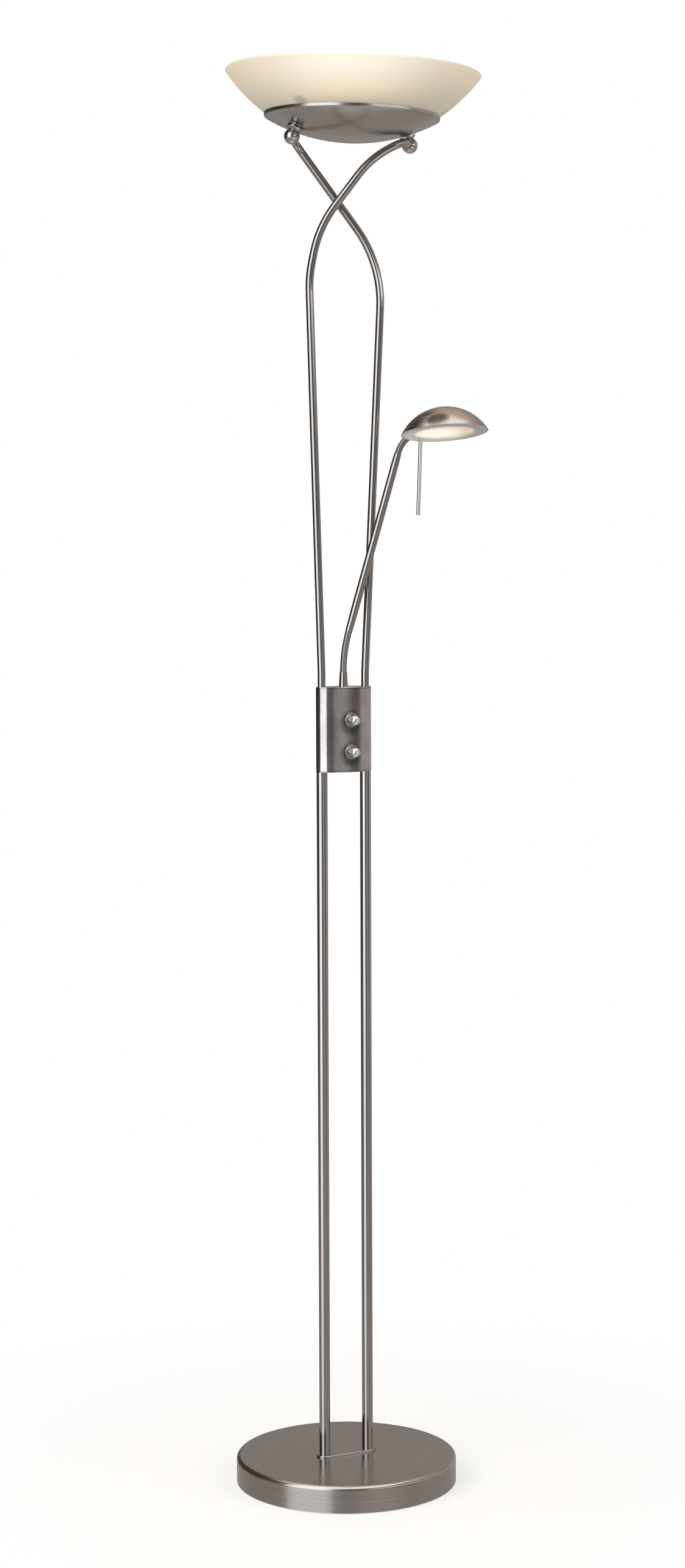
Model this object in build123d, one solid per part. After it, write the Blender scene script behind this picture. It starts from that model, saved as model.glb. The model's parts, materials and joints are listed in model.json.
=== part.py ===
from build123d import *
from math import asin, cos, degrees, radians, sin, sqrt
import os

# Torchiere floor lamp with a reading light. Millimetres, +Z up, +X along the two poles, -Y the knob side.
# The origin is the centre of the base's underside, on the floor.

# Fits
FIT = 0.1  # radial clearance between pieces that are fastened together
RUN = 0.05  # radial clearance of a shaft that turns
APART = 0.3  # gap between pieces that move past each other
TOUCH = 0.05  # gap under a curved seat

# Base
BASE_RADIUS = 142.0
BASE_HEIGHT = 35.0
BASE_EDGE = 5.0
BASE_WALL = 1.2
BASE_LIFT = 1.0
PAD_THICKNESS = 2.0
PAD_WIDTH = 22.0
PAD_INSET = 2.5
PLATE_THICKNESS = 1.5
WEIGHT_MARGIN = 8.8  # from the weight's edge to the cover's inside
WEIGHT_THICKNESS = 14.0
BASE_SCREW_COUNT = 3
BASE_SCREW_CIRCLE = 80.0
BASE_SCREW_FIRST = 90.0  # azimuth of the first screw
BASE_SCREW_RADIUS = 2.5
BASE_SCREW_HEAD_RADIUS = 4.5
BASE_SCREW_HEAD_HEIGHT = 1.5
BASE_SCREW_GRIP = 8.0
SPACER_RADIUS = 6.0
GROMMET_HEIGHT = 12.0
GROMMET_RADIUS = 4.0
GROMMET_FLANGE = 6.0
GROMMET_LIP = 1.6
GROMMET_BORE = 2.6

# Foot plate and poles
FOOT_MARGIN = 3.5  # foot plate standing out round the poles
FOOT_THICKNESS = 2.5
FOOT_EDGE = 0.8
POLE_OFFSET = 31.0
POLE_RADIUS = 7.0
POLE_WALL = 1.2
POLE_LENGTH = 884.9
PLUG_LENGTH = 18.0
STUD_RADIUS = 5.0
STUD_BORE = 3.0
STUD_NUT_FLATS = 17.0
STUD_NUT_HEIGHT = 6.0
WASHER_RADIUS = 11.0
WASHER_THICKNESS = 1.5
THREAD_END = 1.5  # thread left standing past a nut

# Switch box
BOX_END_MARGIN = 7.0  # from a pole's axis to the end of the box
BOX_HALF_DEPTH = 20.0
BOX_HEIGHT = 108.0
BOX_WALL = 1.5
BOX_PLATE = 2.0
BOX_PLATE_EDGE = 0.5
BOX_SPLIT = 0.2
FLANGE_THICKNESS = 2.0
WEB_THICKNESS = 1.5
WEB_SETBACK = 6.0
WEB_WIDTH = 34.0
COVER_SCREW_RADIUS = 1.7
COVER_SCREW_HEAD_RADIUS = 3.5
COVER_SCREW_HEAD_HEIGHT = 1.8
COVER_SCREW_HEIGHTS = (20.0, 68.0)
TERMINAL_SIZE = (30.0, 11.0, 12.0)
TERMINAL_HEIGHT = 88.0

# Dimmers and knobs
KNOB_HEIGHTS = {"lower": 25.9, "upper": 66.4}
DIMMER_WIDTH = 24.0
DIMMER_DEPTH = 13.0
DIMMER_HEIGHT = 28.0
DIMMER_SETBACK = 3.5
BUSHING_RADIUS = 4.0
BUSHING_LENGTH = 2.6
SHOULDER_RADIUS = 5.5
SHAFT_RADIUS = 2.0
SHAFT_INSIDE = 10.0
BEZEL_RADIUS = 9.25
BEZEL_THICKNESS = 3.0
BEZEL_EDGE = 0.6
KNOB_BALL_RADIUS = 6.4
KNOB_REACH = 9.5
KNOB_STEM_BASE = 4.2
KNOB_STEM_TOP = 3.4
KNOB_GRIP = 8.0

# Upper tubes. Each starts over its pole and bends in one upright plane, then turns into its ball.
# A bend is (distance out in that plane, height over the switch box, bend radius).
TUBE_RADIUS = 5.0
TUBE_WALL = 1.0
TUBE_PLANE = -24.0
TUBE_ROOT_STRAIGHT = 18.0
FRONT_TUBE_BENDS = [
    (0.0, TUBE_ROOT_STRAIGHT, 300.0),
    (-13.4, 513.8, 151.0),
    (-1.3, 575.3, 143.0),
    (65.1, 661.6, 115.0),
    (105.2, 681.7, 18.0),
]
REAR_TUBE_BENDS = [
    (0.0, TUBE_ROOT_STRAIGHT, 300.0),
    (-23.0, 532.1, 156.0),
    (86.3, 682.5, 18.0),
]
NIPPLE_BORE = 2.5
NIPPLE_GRIP = 11.0
BOX_NUT_HEIGHT = 5.0

# Uplighter
DISH_PLACE = (11.1, -5.6)
DISH_RISE = 682.2
DISH_LEAN = 1.8
DISH_LEAN_AZIMUTH = -26.9
DISH_RADIUS = 110.4
DISH_CURVE = 226.0
DISH_RIM_HEIGHT = 4.4
DISH_WALL = 1.3
DISH_EDGE = 2.6
FITTING_RADIUS = 75.3
FITTING_AZIMUTH = -5.5
BALL_RADIUS = 9.9
BALL_GAP = 2.5  # from the ball's top to the dish
BALL_GRIP = 4.2
COLLAR_RADIUS = 10.3
COLLAR_FLANGE = 1.6
COLLAR_NECK_RADIUS = 7.0
COLLAR_HEIGHT = 4.8
FITTING_STUD_RADIUS = 4.0
FITTING_STUD_BORE = 2.2
FITTING_STUD_INSIDE = 7.2
FITTING_NUT_FLATS = 13.0
FITTING_NUT_HEIGHT = 4.0
SEAT_RING_MARGIN = 8.1  # from the ring to the dish's rim
SEAT_RING_WIDTH = 4.8
SEAT_RING_THICKNESS = 1.1
GLASS_FOOT_INSET = 2.5  # from the ring's outer edge to the glass's
GLASS_RIM_RADIUS = 159.6
GLASS_RIM_HEIGHT = 82.6
GLASS_WALL = 4.0
GLASS_BULGE = 3.8
CLAMP_COUNT = 3
CLAMP_WIDTH = 10.0
CLAMP_LENGTH = 12.0
CLAMP_THICKNESS = 2.2
CLAMP_HOOK = 3.0
CLAMP_GAP = 0.25
BRACKET_WIDTH = 14.0
BRACKET_THICKNESS = 1.5
BRACKET_INWARD = 12.0
BRACKET_LIFT = 0.5
BRACKET_OUTWARD = 8.0
HALOGEN_HEIGHT = 50.0
HALOGEN_RADIUS = 5.0
HALOGEN_CAP_RADIUS = 3.6
HALOGEN_CAP_LENGTH = 13.0
HOLDER_LENGTH = 14.0
HOLDER_FLOOR = 4.4  # ceramic behind the lamp's end
HOLDER_WIDTH = 13.0
HOLDER_HEIGHT = 15.0

# Reading arm
ARM_AZIMUTH = -26.9
ARM_LEAN = 15.66
ARM_LENGTH = 232.2
ARM_RADIUS = 5.0
ARM_END_RADIUS = 4.55
ARM_LOWER_TAPER = 30.0
ARM_UPPER_TAPER = 14.0
ARM_BORE = 3.6
FERRULE_HEIGHT = 18.8
FERRULE_FOOT_RADIUS = 5.8
FERRULE_TOP_RADIUS = 4.7
LOWER_NECK_LENGTH = 52.0
LOWER_NECK_RADIUS = 4.3
LOWER_NECK_RIBS = 9  # in each half
UPPER_NECK_LENGTH = 36.8
UPPER_NECK_RADIUS = 4.1
UPPER_NECK_RIBS = 11  # in each half
RIB_DEPTH = 0.5
RIB_OUTLINE = (0.0, 0.2, 0.65, 0.85)  # root, crest, crest and root, as shares of a rib's pitch
NECK_BORE = 1.9
WIRE_BORE = 1.8

# Reading head
HEAD_AZIMUTH = -71.6
HEAD_PITCH = 9.2
HEAD_ROLL = 4.2
HEAD_NECK_HEIGHT = 7.6
HEAD_RADIUS = 54.5
NECK_ENTRY = 2.5  # from the rim in to the neck's flexible end
HEAD_HEIGHT = 32.0
HEAD_WALL = 1.0
RING_WIDTH = 17.5
RING_THICKNESS = 1.5
HEAD_GLASS_LAP = 1.8
HEAD_GLASS_THICKNESS = 2.5
CLIP_AZIMUTHS = (65.0, -115.0)
CLIP_WIDTH = 9.0
CLIP_THICKNESS = 0.8
CLIP_REACH = 4.5
CLIP_TAIL = 5.0
SOCKET_RADIUS = 6.0
SOCKET_LENGTH = 8.0
CAPSULE_HOLDER_LENGTH = 14.0
CAPSULE_HOLDER_RADIUS = 5.5
CAPSULE_RADIUS = 4.5
CAPSULE_LENGTH = 20.0
HANDLE_RADIUS = 2.4
HANDLE_EDGE = 1.4
HANDLE_LENGTH = 95.0
HANDLE_LEAN = 8.0
HANDLE_INSET = 12.9  # from the rim in to the handle
HANDLE_THREAD_RADIUS = 1.5
HANDLE_THREAD_LENGTH = 3.6

# Levels that the pieces share
FOOT_TOP = BASE_HEIGHT + FOOT_THICKNESS
BOX_BOTTOM = FOOT_TOP + POLE_LENGTH
BOX_TOP = BOX_BOTTOM + BOX_HEIGHT
WEIGHT_TOP = BASE_HEIGHT - BASE_WALL
WEIGHT_BOTTOM = WEIGHT_TOP - WEIGHT_THICKNESS
POLE_SIDES = (-1, 1)

# Sizes that follow from others
WEIGHT_RADIUS = BASE_RADIUS - BASE_WALL - WEIGHT_MARGIN
FOOT_LENGTH = 2 * (POLE_OFFSET + POLE_RADIUS + FOOT_MARGIN)
FOOT_WIDTH = 2 * (POLE_RADIUS + FOOT_MARGIN)
BOX_HALF_LENGTH = POLE_OFFSET + BOX_END_MARGIN
BOX_NUT_RADIUS = BOX_END_MARGIN - BOX_WALL - APART
WEB_OFFSET = BOX_HALF_DEPTH - WEB_SETBACK
DISH_HEIGHT = DISH_CURVE - sqrt(DISH_CURVE**2 - DISH_RADIUS**2) + DISH_RIM_HEIGHT
BALL_DROP = BALL_RADIUS + BALL_GAP
SEAT_RING_OUTER = DISH_RADIUS - DISH_WALL - SEAT_RING_MARGIN
SEAT_RING_INNER = SEAT_RING_OUTER - SEAT_RING_WIDTH
GLASS_FOOT_RADIUS = SEAT_RING_OUTER - GLASS_FOOT_INSET
HEAD_REACH = HEAD_RADIUS - NECK_ENTRY
RING_OPENING = HEAD_RADIUS - RING_WIDTH
HEAD_GLASS_RADIUS = RING_OPENING + HEAD_GLASS_LAP
HANDLE_OFFSET = HEAD_RADIUS - HANDLE_INSET


def save(name, *pieces):
    """Write one node, a single piece or a set of like pieces."""
    shape = pieces[0] if len(pieces) == 1 else Compound(children=list(pieces))
    export_step(shape, f"parts/{name}.step")


def turned(*outline):
    """Solid of revolution about Z from (radius, height) points."""
    return revolve(Plane.XZ * make_face(Polyline(*outline, close=True)), Axis.Z)


def rod(radius, bottom, top):
    """Upright cylinder between two heights."""
    return Pos(0, 0, bottom) * extrude(Circle(radius), top - bottom)


def tube(outer, inner, bottom, top):
    """Upright round tube between two heights."""
    return Pos(0, 0, bottom) * extrude(Circle(outer) - Circle(inner), top - bottom)


def hex_nut(flats, bore, bottom, top):
    """Hexagon nut, flat on its lower height."""
    outline = RegularPolygon(flats / 2, 6, major_radius=False) - Circle(bore)
    return Pos(0, 0, bottom) * extrude(outline, top - bottom)


def at_poles(piece):
    """The same piece over each of the two poles."""
    return [Pos(side * POLE_OFFSET, 0, 0) * piece for side in POLE_SIDES]


def around(count, radius, piece, first=0.0):
    """The same piece spaced evenly on a circle."""
    return [Rot(0, 0, first + 360 * step / count) * Pos(radius, 0, 0) * piece for step in range(count)]


def elliptic(inset, bottom, top):
    """Solid of the switch box's outline, moved inward and set between two heights."""
    outline = Ellipse(BOX_HALF_LENGTH - inset, BOX_HALF_DEPTH - inset)
    return Pos(0, 0, bottom) * extrude(outline, top - bottom)


def slab(x_range, y_range, z_range):
    """Block between two places on each axis."""
    spans = [x_range, y_range, z_range]
    size = [high - low for low, high in spans]
    middle = [(high + low) / 2 for low, high in spans]
    return Pos(*middle) * Box(*size)


# Base

def base_cover():
    """Spun cover, open underneath, with holes for the two studs and the cord's grommet."""
    outside = fillet(rod(BASE_RADIUS, BASE_LIFT, BASE_HEIGHT).edges().sort_by(Axis.Z)[-1], BASE_EDGE)
    inside = rod(BASE_RADIUS - BASE_WALL, 0, WEIGHT_TOP)
    inside = fillet(inside.edges().sort_by(Axis.Z)[-1], BASE_EDGE - BASE_WALL)
    cover = outside - inside
    for hole in at_poles(rod(STUD_RADIUS + FIT, 0, BASE_HEIGHT)):
        cover -= hole
    reach = BASE_RADIUS * 2
    outlet = Plane(origin=(0, 0, GROMMET_HEIGHT), x_dir=(1, 0, 0), z_dir=(0, 1, 0))
    return cover - outlet * rod(GROMMET_RADIUS + FIT, BASE_RADIUS / 2, reach)


def cord_grommet():
    """Flanged bush in the rear of the cover, where the cord comes out."""
    curve = BASE_RADIUS - sqrt(BASE_RADIUS**2 - GROMMET_FLANGE**2)
    inner_face = BASE_RADIUS - BASE_WALL - curve - TOUCH
    outer_face = BASE_RADIUS + TOUCH
    bush = rod(GROMMET_RADIUS, inner_face, outer_face)
    bush += rod(GROMMET_FLANGE, inner_face - GROMMET_LIP, inner_face)
    bush += rod(GROMMET_FLANGE, outer_face, outer_face + GROMMET_LIP)
    bush -= rod(GROMMET_BORE, inner_face - GROMMET_LIP, outer_face + GROMMET_LIP)
    return Plane(origin=(0, 0, GROMMET_HEIGHT), x_dir=(1, 0, 0), z_dir=(0, 1, 0)) * bush


def base_weight():
    """Cast iron disc under the cover, held by the two studs and drilled for the plate's screws."""
    weight = rod(WEIGHT_RADIUS, WEIGHT_BOTTOM, WEIGHT_TOP)
    for hole in at_poles(rod(STUD_RADIUS + FIT, WEIGHT_BOTTOM, WEIGHT_TOP)):
        weight -= hole
    screw_hole = rod(BASE_SCREW_RADIUS + FIT, WEIGHT_BOTTOM, WEIGHT_BOTTOM + BASE_SCREW_GRIP + FIT)
    for hole in around(BASE_SCREW_COUNT, BASE_SCREW_CIRCLE, screw_hole, BASE_SCREW_FIRST):
        weight -= hole
    return weight


def base_plate():
    """Steel plate that closes the base from below."""
    plate = rod(BASE_RADIUS - BASE_WALL - APART, PAD_THICKNESS, PAD_THICKNESS + PLATE_THICKNESS)
    screw_hole = rod(BASE_SCREW_RADIUS + FIT, PAD_THICKNESS, PAD_THICKNESS + PLATE_THICKNESS)
    for hole in around(BASE_SCREW_COUNT, BASE_SCREW_CIRCLE, screw_hole, BASE_SCREW_FIRST):
        plate -= hole
    return plate


def base_pad():
    """Ring of felt under the plate, which the lamp stands on."""
    outer = BASE_RADIUS - BASE_WALL - PAD_INSET
    return tube(outer, outer - PAD_WIDTH, 0, PAD_THICKNESS)


def base_screws():
    """Screws that hold the plate to the weight."""
    screw = rod(BASE_SCREW_RADIUS, PAD_THICKNESS, WEIGHT_BOTTOM + BASE_SCREW_GRIP)
    screw += rod(BASE_SCREW_HEAD_RADIUS, PAD_THICKNESS - BASE_SCREW_HEAD_HEIGHT, PAD_THICKNESS)
    return around(BASE_SCREW_COUNT, BASE_SCREW_CIRCLE, screw, BASE_SCREW_FIRST)


def base_spacers():
    """Distance tubes on those screws, between the plate and the weight."""
    bottom = PAD_THICKNESS + PLATE_THICKNESS
    spacer = tube(SPACER_RADIUS, BASE_SCREW_RADIUS + FIT, bottom, WEIGHT_BOTTOM)
    return around(BASE_SCREW_COUNT, BASE_SCREW_CIRCLE, spacer, BASE_SCREW_FIRST)


# Foot plate and poles

def foot_plate():
    """Round-ended plate on the cover that both poles stand on."""
    plate = Pos(0, 0, BASE_HEIGHT) * extrude(SlotOverall(FOOT_LENGTH, FOOT_WIDTH), FOOT_THICKNESS)
    plate = fillet(plate.edges().group_by(Axis.Z)[-1], FOOT_EDGE)
    for hole in at_poles(rod(STUD_RADIUS + FIT, BASE_HEIGHT, FOOT_TOP)):
        plate -= hole
    return plate


def pole():
    """Plain length of tube."""
    return tube(POLE_RADIUS, POLE_RADIUS - POLE_WALL, FOOT_TOP, BOX_BOTTOM)


def pole_stud(radius, bore, stud_length):
    """Hollow stud with the plug that is pressed into a pole's end, plug upward from height 0."""
    plug = tube(POLE_RADIUS - POLE_WALL - FIT, bore, 0, PLUG_LENGTH)
    return plug + tube(radius, bore, -stud_length, 0)


def foot_studs():
    """Studs that clamp the poles, foot plate, cover and weight together."""
    reach = FOOT_TOP - WEIGHT_BOTTOM + WASHER_THICKNESS + STUD_NUT_HEIGHT + THREAD_END
    return at_poles(Pos(0, 0, FOOT_TOP) * pole_stud(STUD_RADIUS, STUD_BORE, reach))


def foot_washers():
    """Washers under the weight."""
    return at_poles(tube(WASHER_RADIUS, STUD_RADIUS + FIT, WEIGHT_BOTTOM - WASHER_THICKNESS, WEIGHT_BOTTOM))


def foot_nuts():
    """Nuts under the weight."""
    top = WEIGHT_BOTTOM - WASHER_THICKNESS
    return at_poles(hex_nut(STUD_NUT_FLATS, STUD_RADIUS + FIT, top - STUD_NUT_HEIGHT, top))


def pole_head_studs():
    """Studs that hold the switch box on the poles."""
    reach = BOX_PLATE + FLANGE_THICKNESS + BOX_NUT_HEIGHT + THREAD_END
    return at_poles(Pos(0, 0, BOX_BOTTOM) * Rot(180, 0, 0) * pole_stud(nipple_radius(), NIPPLE_BORE, reach))


def nipple_radius():
    """Radius of every thread that goes into the box, which is what fits in an upper tube."""
    return TUBE_RADIUS - TUBE_WALL - FIT


def ring_nut(bottom):
    """Round nut on a thread that goes into the box."""
    return tube(BOX_NUT_RADIUS, nipple_radius() + FIT, bottom, bottom + BOX_NUT_HEIGHT)


def ring_nuts():
    """Nuts on the box's lower flange for the poles, and under its upper flange for tubes and ferrule."""
    lower = ring_nut(BOX_BOTTOM + BOX_PLATE + FLANGE_THICKNESS)
    upper = ring_nut(BOX_TOP - BOX_PLATE - FLANGE_THICKNESS - BOX_NUT_HEIGHT)
    return [*at_poles(lower), *at_poles(upper), upper]


# Switch box

def end_plate(bottom):
    """Oval plate over one end of the box, with the holes over the poles."""
    plate = elliptic(0, bottom, bottom + BOX_PLATE)
    plate = chamfer(plate.edges().group_by(Axis.Z)[-1] + plate.edges().group_by(Axis.Z)[0], BOX_PLATE_EDGE)
    for hole in at_poles(rod(nipple_radius() + FIT, bottom, bottom + BOX_PLATE)):
        plate -= hole
    return plate


def box_bottom_plate():
    """Plate on the poles."""
    return end_plate(BOX_BOTTOM)


def box_top_plate():
    """Plate under the upper tubes, with a third hole for the ferrule."""
    return end_plate(BOX_TOP - BOX_PLATE) - rod(nipple_radius() + FIT, BOX_TOP - BOX_PLATE, BOX_TOP)


def chassis():
    """Folded bracket inside the box: two flanges against the end plates, joined by a web at the rear."""
    low = BOX_BOTTOM + BOX_PLATE
    high = BOX_TOP - BOX_PLATE
    rear = WEB_OFFSET + WEB_THICKNESS
    lower = elliptic(BOX_WALL + FIT, low, low + FLANGE_THICKNESS)
    upper = elliptic(BOX_WALL + FIT, high - FLANGE_THICKNESS, high)
    keep = slab((-BOX_HALF_LENGTH, BOX_HALF_LENGTH), (-BOX_HALF_DEPTH, rear), (low, high))
    bracket = keep & (lower + upper)
    bracket += slab((-WEB_WIDTH / 2, WEB_WIDTH / 2), (WEB_OFFSET, rear), (low, high))
    for hole in at_poles(rod(nipple_radius() + FIT, low, high)):
        bracket -= hole
    bracket -= rod(nipple_radius() + FIT, high - FLANGE_THICKNESS, high)
    for height in COVER_SCREW_HEIGHTS:
        bracket -= toward_rear(height) * rod(COVER_SCREW_RADIUS + FIT, WEB_OFFSET, rear)
    return bracket


def toward_rear(height):
    """Frame whose Z points to the rear of the box, at a height over its bottom."""
    return Plane(origin=(0, 0, BOX_BOTTOM + height), x_dir=(1, 0, 0), z_dir=(0, 1, 0))


def toward_front(height):
    """Frame whose Z points to the front of the box, at a height over its bottom."""
    return Plane(origin=(0, 0, BOX_BOTTOM + height), x_dir=(1, 0, 0), z_dir=(0, -1, 0))


def half_cover(side):
    """Front (-1) or rear (1) half of the box's oval sleeve, between the end plates."""
    low = BOX_BOTTOM + BOX_PLATE
    high = BOX_TOP - BOX_PLATE
    sleeve = elliptic(0, low, high) - elliptic(BOX_WALL, low, high)
    depth = sorted((side * BOX_SPLIT / 2, side * BOX_HALF_DEPTH))
    return sleeve & slab((-BOX_HALF_LENGTH, BOX_HALF_LENGTH), depth, (low, high))


def front_cover():
    """Front half with the two dimmers' holes."""
    cover = half_cover(-1)
    for height in KNOB_HEIGHTS.values():
        cover -= toward_front(height) * rod(BUSHING_RADIUS + FIT, 0, BOX_HALF_DEPTH * 2)
    return cover


def rear_cover():
    """Rear half with its two screw holes."""
    cover = half_cover(1)
    for height in COVER_SCREW_HEIGHTS:
        cover -= toward_rear(height) * rod(COVER_SCREW_RADIUS + FIT, 0, BOX_HALF_DEPTH * 2)
    return cover


def cover_screws():
    """Screws through the rear half into the web."""
    seat = BOX_HALF_DEPTH + TOUCH
    screw = rod(COVER_SCREW_RADIUS, WEB_OFFSET - THREAD_END, seat)
    screw += rod(COVER_SCREW_HEAD_RADIUS, seat, seat + COVER_SCREW_HEAD_HEIGHT)
    return [toward_rear(height) * screw for height in COVER_SCREW_HEIGHTS]


def terminal_block():
    """Connector strip on the web."""
    width, depth, height = TERMINAL_SIZE
    bottom = BOX_BOTTOM + TERMINAL_HEIGHT - height / 2
    return slab((-width / 2, width / 2), (WEB_OFFSET - depth, WEB_OFFSET), (bottom, bottom + height))


def dimmer(height):
    """Rotary dimmer: body, shoulder against the cover's inside and the bushing through it."""
    face = BOX_HALF_DEPTH - DIMMER_SETBACK
    back = face - DIMMER_DEPTH
    half = DIMMER_WIDTH / 2
    body = slab((-half, half), (-DIMMER_HEIGHT / 2, DIMMER_HEIGHT / 2), (back, face))
    inner_depth = BOX_HALF_DEPTH - BOX_WALL
    inner_length = BOX_HALF_LENGTH - BOX_WALL
    wall = inner_depth * sqrt(1 - (SHOULDER_RADIUS / inner_length) ** 2) - TOUCH
    body += rod(SHOULDER_RADIUS, face, wall)
    body += rod(BUSHING_RADIUS, wall, BOX_HALF_DEPTH + BUSHING_LENGTH)
    return toward_front(height) * (body - rod(SHAFT_RADIUS + RUN, face - SHAFT_INSIDE, BOX_HALF_DEPTH * 2))


def bezel(height):
    """Round collar that is screwed on the bushing."""
    seat = BOX_HALF_DEPTH + TOUCH
    collar = rod(BEZEL_RADIUS, seat, seat + BEZEL_THICKNESS)
    collar = fillet(collar.edges().sort_by(Axis.Z)[-1], BEZEL_EDGE)
    return toward_front(height) * (collar - rod(BUSHING_RADIUS + FIT, seat, seat + BEZEL_THICKNESS))


def knob(height):
    """Ball-headed knob on a short tapered stem."""
    foot = BOX_HALF_DEPTH + TOUCH + BEZEL_THICKNESS + APART
    middle = foot - APART + KNOB_REACH
    joint = middle - sqrt(KNOB_BALL_RADIUS**2 - KNOB_STEM_TOP**2) + APART
    stem = turned((0, foot), (KNOB_STEM_BASE, foot), (KNOB_STEM_TOP, joint), (0, joint))
    grip = Pos(0, 0, middle) * Sphere(KNOB_BALL_RADIUS)
    return toward_front(height) * (stem + grip - rod(SHAFT_RADIUS + FIT, foot, foot + KNOB_GRIP + FIT))


def knob_shaft(height):
    """The dimmer's shaft, which turns with its knob."""
    back = BOX_HALF_DEPTH - DIMMER_SETBACK - SHAFT_INSIDE + APART
    foot = BOX_HALF_DEPTH + TOUCH + BEZEL_THICKNESS + APART
    return toward_front(height) * rod(SHAFT_RADIUS, back, foot + KNOB_GRIP)


# Uplighter. Its own frame stands on the middle of the dish's underside and leans a little.

def dish_frame():
    """Frame of the dish, glass and lamp."""
    lean = Rot(0, 0, DISH_LEAN_AZIMUTH) * Rot(0, DISH_LEAN, 0) * Rot(0, 0, -DISH_LEAN_AZIMUTH)
    return Pos(*DISH_PLACE, BOX_TOP + DISH_RISE) * lean


def fitting_frames():
    """Frames on the dish's underside where the right and the left fitting meet it, Z into the dish."""
    tilt = degrees(asin(FITTING_RADIUS / DISH_CURVE))
    frames = []
    for azimuth in (FITTING_AZIMUTH, FITTING_AZIMUTH + 180):
        outward = Rot(0, 0, azimuth) * Pos(FITTING_RADIUS, 0, dish_rise(FITTING_RADIUS, DISH_CURVE))
        frames.append(dish_frame() * outward * Rot(0, -tilt, 0))
    return frames


def dish_rise(radius, curve):
    """Height of the dish's curved underside at a radius."""
    return DISH_CURVE - sqrt(curve**2 - radius**2)


def dish_inside(gap):
    """The space in the dish, cut short of its inner surface by a gap."""
    bowl = Pos(0, 0, DISH_CURVE) * Sphere(DISH_CURVE - DISH_WALL - gap)
    return bowl & rod(DISH_RADIUS, 0, DISH_CURVE)


def shade_dish():
    """Spun metal dish with an upright rim and two stud holes."""
    outer = DISH_RADIUS
    inner = outer - DISH_WALL
    hollow = DISH_CURVE - DISH_WALL
    corner = (outer, dish_rise(outer, DISH_CURVE))
    heel = (inner, dish_rise(inner, hollow))
    outline = [
        ThreePointArc((0, 0), (outer / 2, dish_rise(outer / 2, DISH_CURVE)), corner),
        Polyline(corner, (outer, DISH_HEIGHT), (inner, DISH_HEIGHT), heel),
        ThreePointArc(heel, (inner / 2, dish_rise(inner / 2, hollow)), (0, DISH_WALL)),
        Line((0, DISH_WALL), (0, 0)),
    ]
    section = make_face(outline)
    section = fillet(section.vertices().sort_by_distance(Vertex(*corner))[0], DISH_EDGE)
    section = fillet(section.vertices().sort_by_distance(Vertex(*heel))[0], DISH_EDGE - DISH_WALL)
    dish = dish_frame() * revolve(Plane.XZ * section, Axis.Z)
    for frame in fitting_frames():
        dish -= frame * rod(FITTING_STUD_RADIUS + FIT, -DISH_WALL, DISH_WALL * 3)
    return dish


def ball(frame, approach):
    """Ball under the dish, bored for its stud and for the tube that comes to it."""
    centre = frame * Pos(0, 0, -BALL_DROP)
    solid = centre * Sphere(BALL_RADIUS)
    solid -= centre * rod(FITTING_STUD_RADIUS + FIT, 0, BALL_RADIUS)
    bore = Plane(origin=centre.position, z_dir=-approach)
    return solid - bore * rod(TUBE_RADIUS + FIT, BALL_RADIUS - BALL_GRIP - FIT, BALL_RADIUS * 2)


def collar(frame):
    """Domed collar between a ball and the dish."""
    seat = -TOUCH - (DISH_CURVE - sqrt(DISH_CURVE**2 - COLLAR_RADIUS**2))
    foot = seat - COLLAR_HEIGHT
    shape = turned(
        (FITTING_STUD_RADIUS + FIT, seat),
        (COLLAR_RADIUS, seat),
        (COLLAR_RADIUS, seat - COLLAR_FLANGE),
        (COLLAR_NECK_RADIUS, foot),
        (FITTING_STUD_RADIUS + FIT, foot),
    )
    return frame * (shape - Pos(0, 0, -BALL_DROP) * Sphere(BALL_RADIUS + TOUCH))


def fitting_nut_seat():
    """Height of the nut's underside over a fitting frame."""
    return DISH_WALL + BRACKET_LIFT + BRACKET_THICKNESS


def fitting_stud(frame):
    """Hollow stud from a ball up through the dish."""
    top = fitting_nut_seat() + FITTING_NUT_HEIGHT + THREAD_END
    bottom = -BALL_DROP + BALL_RADIUS - FITTING_STUD_INSIDE
    return frame * tube(FITTING_STUD_RADIUS, FITTING_STUD_BORE, bottom, top)


def fitting_nut(frame):
    """Nut over the bracket's foot."""
    seat = fitting_nut_seat()
    return frame * hex_nut(FITTING_NUT_FLATS, FITTING_STUD_RADIUS + FIT, seat, seat + FITTING_NUT_HEIGHT)


def upper_tube(side, bends, frame):
    """Bent tube from the box's top into a ball, and the direction it comes from."""
    outward = Rot(0, 0, TUBE_PLANE) if side < 0 else Rot(0, 0, TUBE_PLANE + 180)
    root = Pos(side * POLE_OFFSET, 0, BOX_TOP) * outward
    corners = [(root * Pos(out, 0, height)).position for out, height, _ in bends]
    centre = (frame * Pos(0, 0, -BALL_DROP)).position
    approach = (centre - corners[-1]).normalized()
    end = centre - approach * (BALL_RADIUS - BALL_GRIP)
    path = FilletPolyline(root.position, *corners, end, radius=[bend for _, _, bend in bends])
    section = Plane(origin=root.position, z_dir=(0, 0, 1))
    outside = sweep(section * Circle(TUBE_RADIUS), path=path)
    bore = sweep(section * Circle(TUBE_RADIUS - TUBE_WALL), path=path)
    print("tube length", round(path.length, 1), "volume", round(outside.volume, 1))
    return outside - bore, approach


def seat_ring():
    """Soft ring between the dish and the glass."""
    top = glass_foot_height() - TOUCH
    ring = tube(SEAT_RING_OUTER, SEAT_RING_INNER, 0, top)
    return dish_frame() * (ring & dish_inside(TOUCH))


def glass_foot_height():
    """Height of the glass's lower edge in the dish's frame."""
    return dish_rise(SEAT_RING_OUTER, DISH_CURVE - DISH_WALL) + SEAT_RING_THICKNESS


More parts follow.
